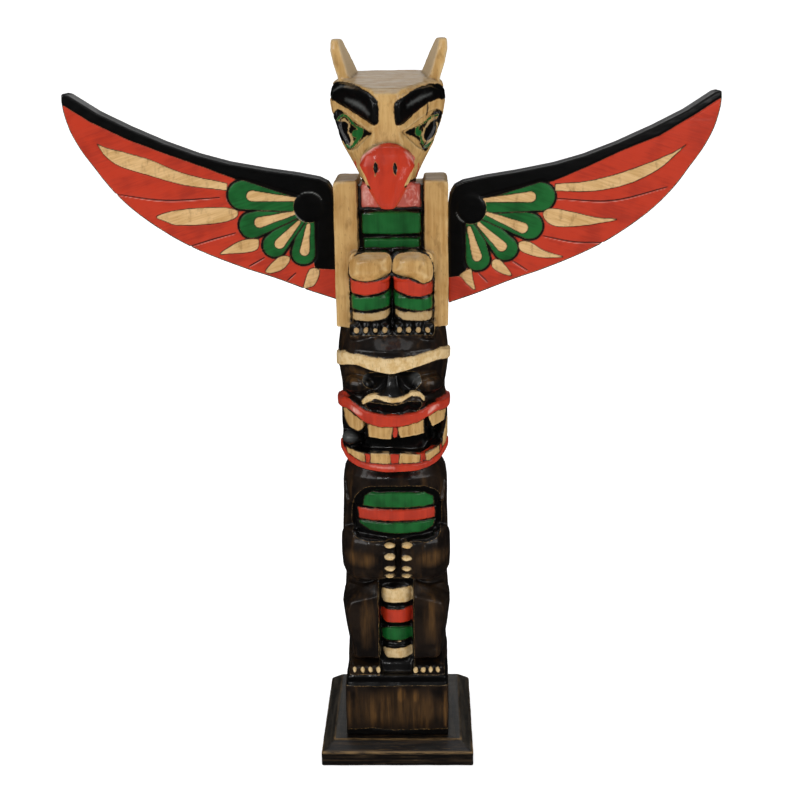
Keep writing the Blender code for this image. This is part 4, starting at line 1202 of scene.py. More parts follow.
def pole_drawing() -> Drawing:
    """Draws the whole pole.

    Returns:
        The drawing, in the pole's millimetres.
    """
    rubs_and_highlights = [
        RubAndHighlight(Area(-20.5, 20.5, 388.0, 405.6), 0.2, 0.0, -14.0),
        # Painted grey highlights along the black brows
        RubAndHighlight(Stroke(((-27.0, 459.0), (-18.0, 455.6), (-12.4, 451.0)), 2.6), 0.3, 0.0, softness=1.2),
        RubAndHighlight(Stroke(((12.0, 455.4), (20.0, 459.6), (27.0, 461.8)), 1.6), 0.3, 0.0, softness=1.0),
        RubAndHighlight(Stroke(((-36.0, 463.6), (-30.0, 466.6), (-22.0, 466.0)), 0.8), 0.4, 0.0, softness=0.6),
        RubAndHighlight(Oval((-15.2, 397.0), (5.0, 7.4)), 0.5, 0.0, -14.0, 2.0),
        RubAndHighlight(Stroke(scribble((-14.6, 397.8), (3.6, 7.0)), 0.7, False), 0.95, 0.0, -14.0, 0.3),
        RubAndHighlight(Stroke(scribble((14.0, 397.0), (4.8, 7.6)), 0.6, False), 0.8, 0.0, -14.0, 0.3),
        # Painted highlights along the ends of the beak's arch
        RubAndHighlight(Stroke(((-18.2, 421.6), (-15.2, 426.4), (-11.2, 429.4), (-6.3, 431.6)), 2.0), 0.9, -20.0),
        RubAndHighlight(Stroke(((16.2, 420.6), (13.6, 424.4), (10.4, 427.8)), 1.2), 0.9, -20.0),
        # Painted highlights on the upper lip near its corners and on the lower lip
        RubAndHighlight(Stroke(((-27.6, 258.0), (-24.6, 256.4), (-21.6, 255.0)), 3.0), 0.75, 0.0),
        RubAndHighlight(Stroke(((23.6, 255.0), (27.0, 257.6), (30.2, 259.0)), 2.4), 0.75, 0.0),
        RubAndHighlight(Stroke(((-16.0, 218.8), (-6.0, 218.4), (0.0, 218.6)), 1.0), 0.6, 0.0),
        # A painted grey highlight inside the mouth
        RubAndHighlight(Oval((-31.0, 236.6), (4.6, 3.2)), 0.22, 0.0, softness=2.4),
    ]
    for x, *_ in EAGLE_CLAWS:
        for side in (-1, 1):
            mark = ((x, 303.6), (x + side * 1.5, 306.2), (x + side * 2.4, 309.0))
            rubs_and_highlights.append(RubAndHighlight(Stroke(mark, 0.3), 0.7, -14.0, softness=0.25))
    rubs_and_highlights += [RubAndHighlight(shape, strength, -16.0, softness=softness) for shape, strength, softness in WORN]
    grooves = [
        Patch(Paint.BLACK, Stroke(((24.0, 457.9), (24.7, 454.3), (24.4, 450.9), (24.0, 448.3)), 0.4), 0.0),
        Patch(Paint.BLACK, Stroke(((0.0, 342.0), (0.2, 330.0), (0.0, 316.0)), 0.6), 0.0),
    ]
    return Drawing(bear_patches() + eagle_patches(), rubs_and_highlights, grooves)


@dataclass(frozen=True)
class Feather:
    """A bare feather on a wing: its two edges from the root to the tip."""

    upper: Sequence[Pair]
    lower: Sequence[Pair]

    def loop(self) -> Loop:
        """Joins the two edges.

        Returns:
            The feather's outline, with a pointed tip.
        """
        up = curved(self.upper, closed=False, steps=4)
        down = curved(self.lower, closed=False, steps=4)
        return Loop([tuple(p) for p in np.vstack([up, down[::-1]])], smooth=False)


@dataclass(frozen=True)
class WingDrawing:
    """What is drawn on a wing, as distance from its root and height above its foot."""

    boss: Pair
    boss_radius: float
    band: Sequence[Pair]
    black_edge: Sequence[Pair]
    lobes: Sequence[tuple[Pair, float]]
    drops: Sequence[tuple[Pair, Pair, float]]
    feather: Feather
    petals: Sequence[Sequence[Pair]]
    grooves: Sequence[Sequence[Pair]]
    # The start and end angles, in degrees, of the painted highlight arcs on the boss's rim
    arcs: Sequence[tuple[float, float]]

    def arc(self, first: float, last: float, reach: float) -> list[Pair]:
        """Draws part of a circle round the boss."""
        angles = [math.radians(first + (last - first) * i / 6) for i in range(7)]
        return [(self.boss[0] + reach * math.cos(a), self.boss[1] + reach * math.sin(a)) for a in angles]

    def drawing(self, outline: Sequence[Pair]) -> Drawing:
        """Puts the wing's drawing together.

        Args:
            outline: The wing's lower edge.

        Returns:
            The drawing.
        """
        front = 12.0
        top = [(x, z, 200.0) for x, z in sorted(self.black_edge)]
        made = [
            Patch(Paint.RED, Area(-9, 300, -9, 300)),
            Patch(Paint.BLACK, Band(top)),
            Patch(Paint.BLACK, Stroke(outline, 1.5, False), lined=False),
            Patch(Paint.BLACK, Loop(self.band, False), front, lined=False),
        ]
        made += [Patch(Paint.BLACK, Drop(self.boss, centre, 6.0, radius + 1.2), front) for centre, radius in self.lobes]
        for centre, radius in self.lobes:
            made.append(Patch(Paint.BLACK, Drop(self.boss, centre, 4.0, radius + 0.6), front))
            made.append(Patch(Paint.GREEN, Drop(self.boss, centre, 3.4, radius), front))
        made += [Patch(Paint.BARE, Drop(root, end, 1.4, width / 2), front) for root, end, width in self.drops]
        made += [Patch(Paint.BARE, self.feather.loop(), front)]
        made += [Patch(Paint.BARE, Loop(petal), front) for petal in self.petals]
        made.append(Patch(Paint.BLACK, Oval(self.boss, (self.boss_radius, self.boss_radius)), front, lined=False))
        # Painted highlights: pale arcs on the boss's rim and a pale line under each groove
        rim = self.boss_radius - 0.2
        rubs_and_highlights = [RubAndHighlight(Stroke(self.arc(*arc, rim), 0.45), 0.9, front, softness=0.3) for arc in self.arcs]
        for groove in self.grooves:
            rubs_and_highlights.append(RubAndHighlight(Stroke([(s, z - 0.75) for s, z in groove], 0.4), 0.6, front, softness=0.3))
        grooves = [Patch(Paint.BLACK, Stroke(groove, 0.3), front) for groove in self.grooves]
        return Drawing(made, rubs_and_highlights, grooves, 0.4)


WING_FOOT = (
    (177.2, 136.4), (176.6, 128.0), (173.4, 115.4), (167.4, 103.0), (159.0, 90.6), (148.0, 75.6), (133.0, 60.6),
    (112.0, 45.4), (91.0, 34.0), (64.5, 23.1), (42.0, 15.4), (20.0, 6.9), (0.0, 0.0),
)
LEFT_WING = WingDrawing(
    boss=(17.2, 63.1),
    boss_radius=10.3,
    band=((-3, 20.6), (14.2, 21.6), (18.0, 40.0), (18.0, 60.0), (30.0, 66.0), (48.0, 74.0), (60.0, 80.6), (66.0, 84.0),
          (50.0, 92.0), (-3.0, 92.0)),
    black_edge=((240.0, 160.0), (176.3, 131.7), (160.2, 121.1), (135.9, 109.1), (111.2, 99.5), (86.4, 90.5),
                (65.2, 82.1),
                (50.0, 79.8), (30.0, 76.4), (-5.0, 74.0)),
    lobes=(((21.8, 32.4), 8.0), ((41.0, 37.7), 8.0), ((55.6, 51.4), 8.7), ((61.2, 71.6), 9.6)),
    drops=(((25.7, 68.4), (55.0, 71.0), 7.3), ((26.6, 59.4), (50.6, 53.2), 7.3), ((24.3, 53.1), (37.6, 38.8), 7.3),
           ((17.9, 51.0), (21.1, 33.6), 6.7)),
    feather=Feather(((71.0, 79.6), (99.4, 86.3), (124.1, 96.6), (149.2, 103.6), (155.7, 106.2)),
                    ((71.3, 74.8), (99.8, 78.7), (124.8, 85.9), (142.3, 91.8), (150.7, 98.1), (155.7, 106.2))),
    petals=(
        ((119.5, 58.1), (102.1, 62.5), (77.9, 63.6), (67.9, 62.5), (64.6, 59.5), (68.3, 55.5), (82.5, 52.6),
         (104.8, 51.9), (112.7, 54.0)),
        ((52.7, 42.2), (62.9, 41.3), (71.2, 37.3), (78.2, 32.3), (71.5, 32.2), (59.2, 33.1), (53.1, 35.1),
         (51.5, 39.2)),
        ((37.1, 30.3), (31.6, 29.8), (32.2, 25.3), (37.4, 20.6), (44.7, 18.6), (48.0, 20.5), (42.3, 26.8)),
        ((18.1, 21.1), (11.4, 20.4), (14.4, 11.1), (19.1, 8.5), (22.6, 9.1)),
    ),
    grooves=(((145.6, 73.2), (113.1, 68.7), (76.7, 70.2)), ((97.8, 37.7), (82.0, 42.4), (67.0, 46.4)),
             ((59.0, 23.6), (48.4, 29.4)), ((33.5, 13.5), (27.5, 18.7))),
    arcs=((62.0, 150.0), (-70.0, -18.0)),
)
RIGHT_WING = WingDrawing(
    boss=(15.1, 64.0),
    boss_radius=10.2,
    band=((-3, 17.6), (9.4, 18.6), (13.6, 26.0), (15.0, 40.0), (16.0, 60.0), (30.0, 67.0), (48.0, 74.0), (60.0, 80.6),
          (66.0, 83.4), (50.0, 92.0), (-3.0, 92.0)),
    black_edge=((240.0, 162.0), (176.9, 134.6), (162.0, 124.9), (137.9, 110.5), (113.3, 101.0), (94.9, 92.5),
                (68.7, 81.5),
                (50.0, 78.6), (30.0, 75.8), (-5.0, 74.0)),
    lobes=(((19.7, 30.3), 8.1), ((38.3, 37.2), 8.1), ((54.1, 51.9), 8.7), ((61.4, 71.5), 9.3)),
    drops=(((24.0, 69.7), (54.6, 71.4), 7.3), ((26.0, 60.5), (49.6, 50.8), 7.3), ((20.3, 53.6), (35.8, 38.4), 7.0),
           ((13.8, 51.0), (19.3, 31.8), 6.7)),
    feather=Feather(((70.7, 79.9), (92.0, 81.4), (113.0, 86.5), (132.4, 93.2), (147.8, 99.8), (155.4, 104.4)),
                    ((70.7, 75.2), (93.7, 74.7), (113.3, 77.7), (128.9, 83.4), (141.9, 91.4), (155.4, 104.4))),
    petals=(
        ((63.2, 61.4), (69.2, 63.7), (82.1, 61.2), (98.2, 57.4), (112.1, 55.9), (98.3, 53.0), (80.4, 51.2),
         (69.4, 52.3),
         (64.3, 56.4)),
        ((47.6, 41.4), (54.6, 41.4), (63.7, 35.6), (76.9, 31.0), (62.8, 30.7), (52.7, 33.3), (47.7, 36.4)),
        ((30.2, 29.4), (35.7, 28.4), (42.8, 18.7), (35.7, 20.2), (29.7, 24.3)),
        ((7.4, 19.4), (14.9, 23.4), (16.5, 16.2), (18.0, 9.0), (13.5, 12.1), (9.5, 16.9)),
    ),
    grooves=(((72.1, 70.2), (108.4, 68.5), (144.4, 77.0)), ((63.1, 45.4), (84.0, 41.2), (104.1, 40.5)),
             ((42.9, 28.8), (53.3, 22.1)), ((20.4, 20.5), (26.3, 14.6))),
    arcs=((195.0, 245.0),),
)


class DrawnSpace:
    """The millimetres that a piece is drawn in, laid over its solid."""

    def __init__(self, node: str, low: Sequence[float], high: Sequence[float], flipped: bool = False) -> None:
        """Fits the drawing's box to the solid's box.

        Args:
            node: The solid's name.
            low: The lowest corner of the drawing's box.
            high: Its highest corner.
            flipped: Whether x runs the other way.
        """
        self.real_low, self.real_high = (np.array(corner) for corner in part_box(node))
        self.low, self.high = np.array(low, float), np.array(high, float)
        self.flipped = flipped

    def drawn(self, points: np.ndarray) -> np.ndarray:
        """Turns places in the frame into drawn ones.

        Args:
            points: Places in metres.

        Returns:
            Places in the drawing's millimetres.
        """
        share = (points - self.real_low) / (self.real_high - self.real_low)
        if self.flipped:
            share = share * np.array((-1.0, 1.0, 1.0)) + np.array((1.0, 0.0, 0.0))
        return self.low + share * (self.high - self.low)

    def real(self, points: np.ndarray) -> np.ndarray:
        """Turns drawn places into places in the frame, where x isn't flipped."""
        share = (points - self.low) / (self.high - self.low)
        return self.real_low + share * (self.real_high - self.real_low)


def new_tree(name: str, inputs: Sequence[tuple[str, str, Any]]) -> tuple[NodeBuilder, bpy.types.Node]:
    """Starts a geometry tree with named inputs.

    Args:
        name: The tree's name.
        inputs: The name, socket type and default of each input after the geometry.

    Returns:
        The tree's builder and its input node.
    """
    tree = bpy.data.node_groups.new(name, "GeometryNodeTree")
    tree.interface.new_socket("Geometry", in_out="INPUT", socket_type="NodeSocketGeometry")
    for label, kind, default in inputs:
        socket = tree.interface.new_socket(label, in_out="INPUT", socket_type=kind)
        if default is not None:
            socket.default_value = default
    tree.interface.new_socket("Geometry", in_out="OUTPUT", socket_type="NodeSocketGeometry")
    nodes = NodeBuilder(tree)
    return nodes, nodes.add(GROUP_IN)


def end_tree(nodes: NodeBuilder, geometry: bpy.types.NodeSocket, material: bpy.types.NodeSocket) -> None:
    """Ends a geometry tree: everything is made real and gets its material."""
    dressed = nodes.add(DRESSED, nodes.add(MADE_REAL, geometry), material)
    nodes.add(GROUP_OUT, dressed)


def gouge_tree() -> bpy.types.NodeTree:
    """Makes the tree for the shallow marks that a gouge leaves, long along the grain.

    Returns:
        The tree.
    """
    nodes, given = new_tree("gouge_marks", (
        ("Depth", "NodeSocketFloat", 0.3 * MM),
        ("Marks per metre", "NodeSocketVector", (160.0, 160.0, 70.0)),
        ("Seed", "NodeSocketFloat", 1.0),
        ("Material", "NodeSocketMaterial", None),
    ))
    squeezed = nodes.add(VECTOR_TIMES, nodes.add(SPOT), given.outputs["Marks per metre"])
    clouds = nodes.add(SEEDED_CLOUDS, squeezed, given.outputs["Seed"])
    height = nodes.add(TIMES, nodes.add(MINUS, clouds, 0.5), given.outputs["Depth"])
    offset = nodes.add(VECTOR_SCALED, nodes.add(NORMAL), height)
    end_tree(nodes, nodes.add(MOVED, given.outputs["Geometry"], offset), given.outputs["Material"])
    return nodes.tree


def claw_tree() -> bpy.types.NodeTree:
    """Makes the tree that sets one claw on each point, as large as the point says.

    Returns:
        The tree.
    """
    nodes, given = new_tree("claws_on_points", (
        ("Claw", "NodeSocketObject", None),
        ("Material", "NodeSocketMaterial", None),
    ))
    claw = nodes.add(OBJECT_MESH, given.outputs["Claw"])
    placed = nodes.add(ON_POINTS, given.outputs["Geometry"], claw, nodes.add(SIZE_KEPT, "size"))
    end_tree(nodes, placed, given.outputs["Material"])
    return nodes.tree


def grown(obj: bpy.types.Object, tree: bpy.types.NodeTree, inputs: dict[str, Any]) -> bpy.types.Mesh:
    """Runs a geometry tree on an object.

    Args:
        obj: The object.
        tree: The tree.
        inputs: The values of the tree's named inputs.

    Returns:
        The mesh that comes out.
    """
    modifier = obj.modifiers.new(tree.name, "NODES")
    modifier.node_group = tree
    names = {item.name: item.identifier for item in tree.interface.items_tree if item.in_out == "INPUT"}
    for name, value in inputs.items():
        modifier[names[name]] = value
    return settled(obj)


def settled(obj: bpy.types.Object) -> bpy.types.Mesh:
    """Gives an object's mesh with its modifiers in it, and takes these off.

    Args:
        obj: The object.

    Returns:
        The new mesh, which the object has too.
    """
    bpy.context.view_layer.update()
    graph = bpy.context.evaluated_depsgraph_get()
    mesh = bpy.data.meshes.new_from_object(obj.evaluated_get(graph), depsgraph=graph)
    obj.modifiers.clear()
    obj.data = mesh
    return mesh


def linked(name: str, mesh: bpy.types.Mesh) -> bpy.types.Object:
    """Makes an object in the scene.

    Args:
        name: Its name.
        mesh: Its mesh.

    Returns:
        The object.
    """
    obj = bpy.data.objects.new(name, mesh)
    bpy.context.scene.collection.objects.link(obj)
    return obj


@dataclass(frozen=True)
class Cutting:
    """How finely a piece is carved."""

    voxel: float
    smoothing: int
    gouge_depth: float
    gouge_marks: tuple[float, float, float]
    line_depth: float
    triangles: int


@dataclass
class CarvedPiece:
    """A piece of the totem pole: a fine copy of its solid with carving and paint.

    It has the solid that it stands for, the record's material slot, how finely it is carved, the
    space that it is drawn in, and its paint and lines.
    """

    node: str
    slot: str
    cutting: Cutting
    space: DrawnSpace
    drawing: Drawing

    def extra(self) -> list[bpy.types.Object]:
        """Makes what is joined with the solid before it is carved."""
        return []

    def raised(self, spots: np.ndarray) -> np.ndarray:
        """Says how far the piece's own relief stands out."""
        return np.zeros(len(spots))

    def pushed(self, spots: np.ndarray) -> np.ndarray:
        """Says how far the piece's own forms are moved."""
        return np.zeros(spots.shape)

    def worn(self, spots: np.ndarray) -> np.ndarray:
        """Says where the piece is worn beside what is drawn."""
        return np.zeros(len(spots))

    def build(self, material: bpy.types.Material, gouges: bpy.types.NodeTree) -> bpy.types.Object:
        """Carves and paints the piece.

        Args:
            material: Its material.
            gouges: The tree for gouge marks.

        Returns:
            The finished piece, in place.
        """
        obj = self._copy()
        self._refine(obj)
        grown(obj, gouges, {
            "Depth": self.cutting.gouge_depth * MM,
            "Marks per metre": self.cutting.gouge_marks,
            "Seed": float(len(self.node)),
            "Material": material,
        })
        self._incise(obj)
        self._thin(obj)
        self._paint(obj)
        obj.data.materials.clear()
        obj.data.materials.append(material)
        for polygon in obj.data.polygons:
            polygon.use_smooth = True
        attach(obj, "root")
        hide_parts(self.node)
        LOG.info("%s: %d vertices, %d faces", obj.name, len(obj.data.vertices), len(obj.data.polygons))
        return obj

    def _copy(self) -> bpy.types.Object:
        """Copies the solid's mesh, merges its loose triangles and adds the extra forms.

        Returns:
            The copy.
        """
        built = bmesh.new()
        built.from_mesh(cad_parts[self.node].data)
        for obj in self.extra():
            built.from_mesh(obj.data)
            bpy.data.objects.remove(obj)
        bmesh.ops.remove_doubles(built, verts=built.verts, dist=1e-6)
        mesh = bpy.data.meshes.new(self.node + "_carved")
        built.to_mesh(mesh)
        built.free()
        return linked(self.node + "_carved", mesh)

    def _refine(self, obj: bpy.types.Object) -> None:
        """Makes the mesh fine and takes the hardness off its edges.

        Args:
            obj: The copy.
        """
        remesh = obj.modifiers.new("fine", "REMESH")
        remesh.mode = "VOXEL"
        remesh.voxel_size = self.cutting.voxel * MM
        smooth = obj.modifiers.new("soft", "SMOOTH")
        smooth.factor = 0.5
        smooth.iterations = self.cutting.smoothing
        settled(obj)

    def _incise(self, obj: bpy.types.Object) -> None:
        """Cuts the lines and raises the relief.

        Args:
            obj: The fine piece.
        """
        surface = Surface(obj.data)
        spots = self.space.drawn(surface.points)
        surface.points += self.pushed(spots) * MM
        line = Canvas(spots, self.drawing).line()
        depth = self.cutting.line_depth * (1.0 - smooth_step(0.0, 0.85, line))
        surface.raise_by(self.raised(spots) - depth)
        plain = obj.vertex_groups.new(name="plain")
        weights = np.round(0.12 + 0.88 * smooth_step(0.5, FAR, line) * (0.35 + 0.65 * (surface.normals[:, 1] > 0.2)), 1)
        for weight in np.unique(weights):
            plain.add(np.nonzero(weights == weight)[0].tolist(), float(weight), "REPLACE")

    def _thin(self, obj: bpy.types.Object) -> None:
        """Takes out faces where nothing needs them.

        Args:
            obj: The carved piece.
        """
        faces = sum(len(polygon.vertices) - 2 for polygon in obj.data.polygons)
        LOG.info("%s: %d triangles before thinning", obj.name, faces)
        if faces > self.cutting.triangles:
            thin = obj.modifiers.new("thin", "DECIMATE")
            thin.ratio = self.cutting.triangles / faces
            thin.vertex_group = "plain"
            thin.vertex_group_factor = 1.0
            settled(obj)
        obj.vertex_groups.clear()

    def _paint(self, obj: bpy.types.Object) -> None:
        """Stores the paint on the finished mesh.

        Args:
            obj: The carved piece.
        """
        surface = Surface(obj.data)
        spots = self.space.drawn(surface.points)
        canvas = Canvas(spots, self.drawing)
        for paint, layer in canvas.layers.items():
            surface.keep(f"cover_{paint.value}", layer)
        surface.keep("line", canvas.line())
        surface.keep("rub_and_highlight", np.maximum(canvas.rub_and_highlight, self.worn(spots)))
        surface.keep("edge", np.clip(surface.bulge(5) / 0.5, -1.0, 1.0))


@dataclass
class Pole(CarvedPiece):
    """The log with the block, the bear and the eagle's body and head."""

    node: str = "pole"
    slot: str = "painted_carving"
    cutting: Cutting = Cutting(0.72, 4, 0.9, (120.0, 120.0, 60.0), 0.5, 188000)
    space: DrawnSpace = field(default_factory=lambda: DrawnSpace("pole", (-38.98, -42.8, 15.5), (38.98, 38.5, 495.8)))
    drawing: Drawing = field(default_factory=pole_drawing)
    # The y of the thighs' foremost spots, and how far their rims lie behind these
    globe_front: float = -24.6
    globe_depth: float = 5.6

    def extra(self) -> list[bpy.types.Object]:
        """Makes the claws, the toenails and the drop between the teeth.

        Returns:
            One object with all of them.
        """
        rows = np.array((*TOES, *FINGERS, *EAGLE_CLAWS, GUM_DROP))
        mesh = bpy.data.meshes.new("claw_points")
        mesh.from_pydata([tuple(p) for p in self.space.real(rows[:, :3])], [], [])
        size = mesh.attributes.new("size", "FLOAT_VECTOR", "POINT")
        size.data.foreach_set("vector", (rows[:, 3:] * MM).astype(np.float32).ravel())
        built = bmesh.new()
        bmesh.ops.create_icosphere(built, subdivisions=3, radius=1.0)
        claw_mesh = bpy.data.meshes.new("claw")
        built.to_mesh(claw_mesh)
        built.free()
        claw = linked("claw", claw_mesh)
        points = linked("claws", mesh)
        grown(points, claw_tree(), {"Claw": claw})
        bpy.data.objects.remove(claw)
        return [points]

    def pushed(self, spots: np.ndarray) -> np.ndarray:
        """Rounds the eagle's thighs into globes.

        Args:
            spots: The vertices in drawn millimetres.

        Returns:
            The ways in millimetres.
        """
        x, y, z = spots.T
        inside = np.maximum(*(Loop(points).inside(x, z) for points in THIGHS))
        globe = self.globe_front + self.globe_depth * (1.0 - smooth_step(-1.5, 8.0, inside)) ** 1.5
        zone = smooth_step(337.0, 342.0, z) * (1.0 - smooth_step(361.8, 363.0, z))
        zone = zone * (1.0 - smooth_step(28.4, 29.2, np.abs(x)))
        own = (y < -15.0) & ((inside > -1.0) | (z > 347.0))
        ways = np.zeros(spots.shape)
        ways[:, 1] = np.where(own, np.clip(globe - y, -2.6, 6.0) * zone, 0.0)
        return ways


@dataclass
class Wing(CarvedPiece):
    """A wing board with its carved and painted feathers."""

    boss: Oval
    boss_height: float = 0.4

    @classmethod
    def drawn(cls, node: str, drawing: WingDrawing, flipped: bool) -> "Wing":
        """Makes a wing from its drawing.

        Args:
            node: The solid that it stands for.
            drawing: What is drawn on it.
            flipped: Whether its root is at its higher x.

        Returns:
            The wing.
        """
        space = DrawnSpace(node, (0.0, 5.0, 0.0), (177.2, 21.0, 138.8), flipped)
        cutting = Cutting(0.66, 3, 0.2, (40.0, 200.0, 200.0), 0.45, 180000)
        boss = Oval(drawing.boss, (drawing.boss_radius, drawing.boss_radius))
        return cls(node, "painted_wing", cutting, space, drawing.drawing(WING_FOOT), boss)

    def raised(self, spots: np.ndarray) -> np.ndarray:
        """Raises the boss."""
        x, y, z = spots.T
        return np.where(y < 8.0, self.boss_height * smooth_step(-1.0, 3.0, self.boss.inside(x, z)), 0.0)

    def pushed(self, spots: np.ndarray) -> np.ndarray:
        """Bends the straight pieces of the lower edge into one smooth sweep.

        Args:
            spots: The vertices in drawn millimetres.

        Returns:
            The ways in millimetres.
        """
        x, z = spots[:, 0], spots[:, 2]
        straight = np.array(WING_FOOT[::-1])
        sweep = curved(WING_FOOT[::-1], closed=False)
        foot = np.interp(x, *straight.T)
        ways = np.zeros(spots.shape)
        ways[:, 2] = (np.interp(x, *sweep.T) - foot) * (1.0 - smooth_step(0.0, 8.0, z - foot))
        return ways


@dataclass
class BasePlate(CarvedPiece):
    """The square plate that the pole stands on."""

    node: str = "base_plate"
    slot: str = "stained_plate"
    cutting: Cutting = Cutting(0.8, 2, 0.5, (60.0, 160.0, 160.0), 0.0, 100000)
    space: DrawnSpace = field(
        default_factory=lambda: DrawnSpace("base_plate", (-53.75, -53.75, 0.0), (53.75, 53.75, 15.2))
    )
    drawing: Drawing = Drawing(())
    # Its flat top and its whole outline, both seen from above, and how high its sides are
    top: Area = Area(-45.15, 45.15, -42.75, 51.95)
    outline: Area = Area(-53.75, 53.75, -53.75, 53.75)
    side_height: float = 11.0

    def worn(self, spots: np.ndarray) -> np.ndarray:
        """Wears the rim along its outer edge and along the top of its slope.

        Args:
            spots: The vertices in drawn millimetres.

        Returns:
            The wear, from 0 to 1.
        """
        x, y, z = spots.T
        inner = np.abs(self.top.inside(x, y) + 20.0 * (z < self.side_height + 1.0))
        outer = np.hypot(self.outline.inside(x, y), z - self.side_height)
        wear = np.maximum(1.0 - smooth_step(0.1, 1.3, inner), 1.0 - smooth_step(0.4, 1.7, outer))
        return wear * (0.25 + 0.75 * smooth_step(38.0, 42.0, -y))


@dataclass(frozen=True)
class Viewpoint:
    """The photograph's camera: its place in millimetres, its turns in degrees and its focal length."""

    place: tuple[float, float, float] = (24.523, -845.491, 508.403)
    pitch: float = 16.694
    yaw: float = 1.385
    roll: float = -0.799
    focal_pixels: float = 1276.241
    photo_pixels: float = 800.0
    sensor: float = 36.0

    def build(self) -> bpy.types.Object:
        """Makes the scene's camera.

        Returns:
            The camera.
        """
        pitch, yaw, roll = (math.radians(a) for a in (self.pitch, self.yaw, self.roll))
        ahead = Vector((-math.sin(yaw) * math.cos(pitch), math.cos(yaw) * math.cos(pitch), -math.sin(pitch)))
        level = Vector((math.cos(yaw), math.sin(yaw), 0.0))
        upright = level.cross(ahead)
        right = math.cos(roll) * level + math.sin(roll) * upright
        up = math.cos(roll) * upright - math.sin(roll) * level
        data = bpy.data.cameras.new("camera")
        data.sensor_fit = "HORIZONTAL"
        data.sensor_width = self.sensor
        data.lens = self.sensor * self.focal_pixels / self.photo_pixels
        data.clip_start = 0.01
        camera = bpy.data.objects.new("camera", data)
        bpy.context.scene.collection.objects.link(camera)
        turned = Matrix((right, up, -ahead)).transposed().to_4x4()
        camera.matrix_world = Matrix.Translation(Vector(self.place) * MM) @ turned
        bpy.context.scene.camera = camera
        return camera


@dataclass(frozen=True)
class Softbox:
    """A round soft lamp that looks at the middle of the pole."""

    name: str
    place: tuple[float, float, float]
    size: float
    power: float

    def build(self, target: Vector) -> None:
        """Makes the lamp.

        Args:
            target: What it looks at.
        """
        data = bpy.data.lights.new(self.name, "AREA")
        data.shape = "DISK"
        data.size = self.size
        data.energy = self.power
        lamp = bpy.data.objects.new(self.name, data)
        lamp.location = self.place
        lamp.rotation_euler = (target - Vector(self.place)).to_track_quat("-Z", "Y").to_euler()
        bpy.context.scene.collection.objects.link(lamp)


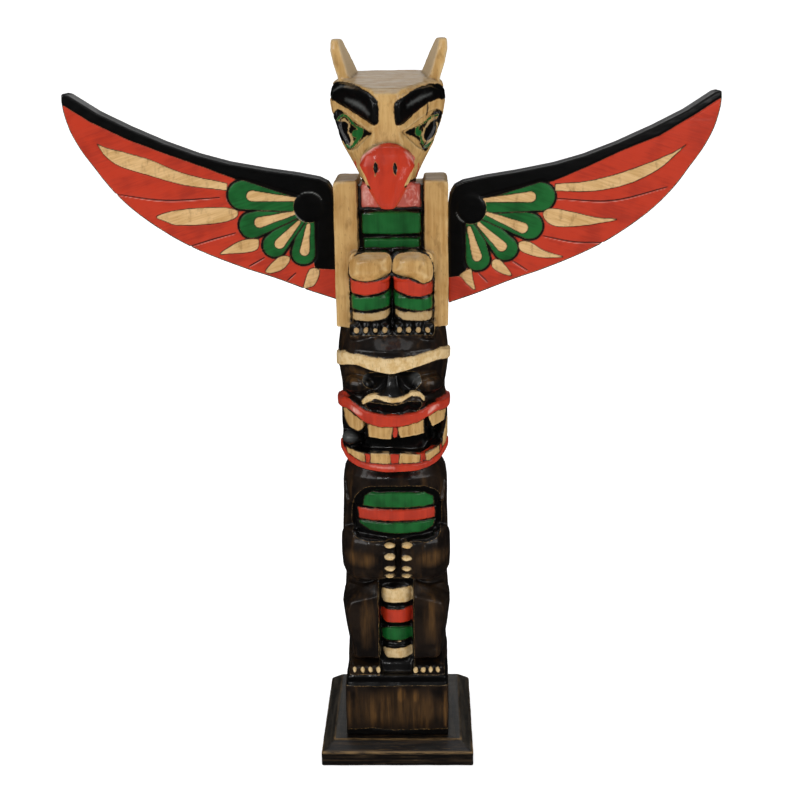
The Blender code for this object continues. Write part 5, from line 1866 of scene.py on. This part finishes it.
@dataclass(frozen=True)
class Studio:
    """The pale floor, its curved backdrop, the lamps and the white surroundings."""

    lamps: tuple[Softbox, ...] = (
        Softbox("lamp_left", (-1.1, -1.0, 1.0), 0.9, 5.0),
        Softbox("lamp_right", (1.1, -1.0, 1.0), 0.9, 4.6),
        Softbox("lamp_key", (-0.35, -1.3, 1.25), 0.25, 2.4),
        Softbox("lamp_low", (0.5, -1.5, 0.5), 0.2, 0.4),
        Softbox("lamp_top", (0.0, 0.1, 1.7), 1.0, 3.6),
        Softbox("lamp_back", (0.0, 1.8, 1.3), 1.0, 1.6),
    )
    # The middle of the pole, which the lamps look at
    middle: tuple[float, float, float] = (0.0, 0.0, 0.25)
    # How bright the white surroundings are to the camera, to matt and to glossy surfaces
    seen: float = 1.0
    lit: float = 0.35
    mirrored: float = 0.01
    # The floor's matt white paper, which glows so evenly that its own bend casts no shade
    paper: float = 0.93
    paper_roughness: float = 0.9
    paper_glow: float = 0.6
    # Half the floor's width, where it ends in front, where it bends up and how high it then goes
    half_width: float = 4.0
    front: float = -3.0
    bend: float = 2.2
    top: float = 4.0

    def build(self) -> None:
        """Makes everything round the object."""
        self._floor()
        for lamp in self.lamps:
            lamp.build(Vector(self.middle))
        world = bpy.data.worlds.new("studio")
        bpy.context.scene.world = world
        world.use_nodes = True
        nodes = NodeBuilder(world.node_tree)
        path = nodes.add(LIGHT_PATH).outputs
        others = nodes.add(SHARE, path["Is Glossy Ray"], self.lit, self.mirrored)
        strength = nodes.add(SHARE, path["Is Camera Ray"], others, self.seen)
        background = world.node_tree.nodes["Background"]
        background.inputs["Color"].default_value = (1.0, 1.0, 1.0, 1.0)
        world.node_tree.links.new(strength, background.inputs["Strength"])
        bpy.context.scene.view_settings.view_transform = "Standard"

    def _floor(self) -> None:
        """Makes the floor, which bends up into the backdrop far behind the object."""
        turns = [math.radians(angle) for angle in range(10, 91, 10)]
        profile = [(self.front, 0.0), (self.bend, 0.0)]
        profile += [(self.bend + math.sin(turn), 1.0 - math.cos(turn)) for turn in turns]
        profile.append((self.bend + 1.0, self.top))
        built = bmesh.new()
        sides = (-self.half_width, self.half_width)
        rows = [[built.verts.new((x, y, z - 0.05 * MM)) for y, z in profile] for x in sides]
        for i in range(len(profile) - 1):
            built.faces.new((rows[0][i], rows[1][i], rows[1][i + 1], rows[0][i + 1])).smooth = True
        mesh = bpy.data.meshes.new("studio_floor")
        built.to_mesh(mesh)
        built.free()
        floor = linked("studio_floor", mesh)
        paper = bpy.data.materials.new("studio_paper")
        paper.use_nodes = True
        shader = paper.node_tree.nodes["Principled BSDF"]
        shader.inputs["Base Color"].default_value = (self.paper, self.paper, self.paper, 1.0)
        shader.inputs["Roughness"].default_value = self.paper_roughness
        shader.inputs["Emission Color"].default_value = (1.0, 1.0, 1.0, 1.0)
        shader.inputs["Emission Strength"].default_value = self.paper_glow
        mesh.materials.append(paper)
        floor.visible_glossy = False


def build_totem_pole() -> None:
    """Makes the whole object in its place."""
    gouges = gouge_tree()
    carving = PaintedWood("varnished_carving", 0.0, 2).material()
    Pole().build(carving, gouges)
    pale = Tone("DDB680", "C49A60")
    left = PaintedWood("painted_left_board", 17.0, 0, bare=pale, fineness=2.4).material()
    right = PaintedWood("painted_right_board", -17.0, 0, bare=pale, fineness=2.4).material()
    Wing.drawn("wing_left", LEFT_WING, True).build(left, gouges)
    Wing.drawn("wing_right", RIGHT_WING, False).build(right, gouges)
    BasePlate().build(StainedPlate("stained_plate").material(), gouges)


def write_sizes() -> None:
    """Brings the view layer up to date."""
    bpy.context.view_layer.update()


def main() -> None:
    """Builds the scene."""
    logging.basicConfig(level=logging.INFO, format="%(message)s")
    Viewpoint().build()
    Studio().build()
    build_totem_pole()
    write_sizes()


if __name__ == "__main__":
    main()
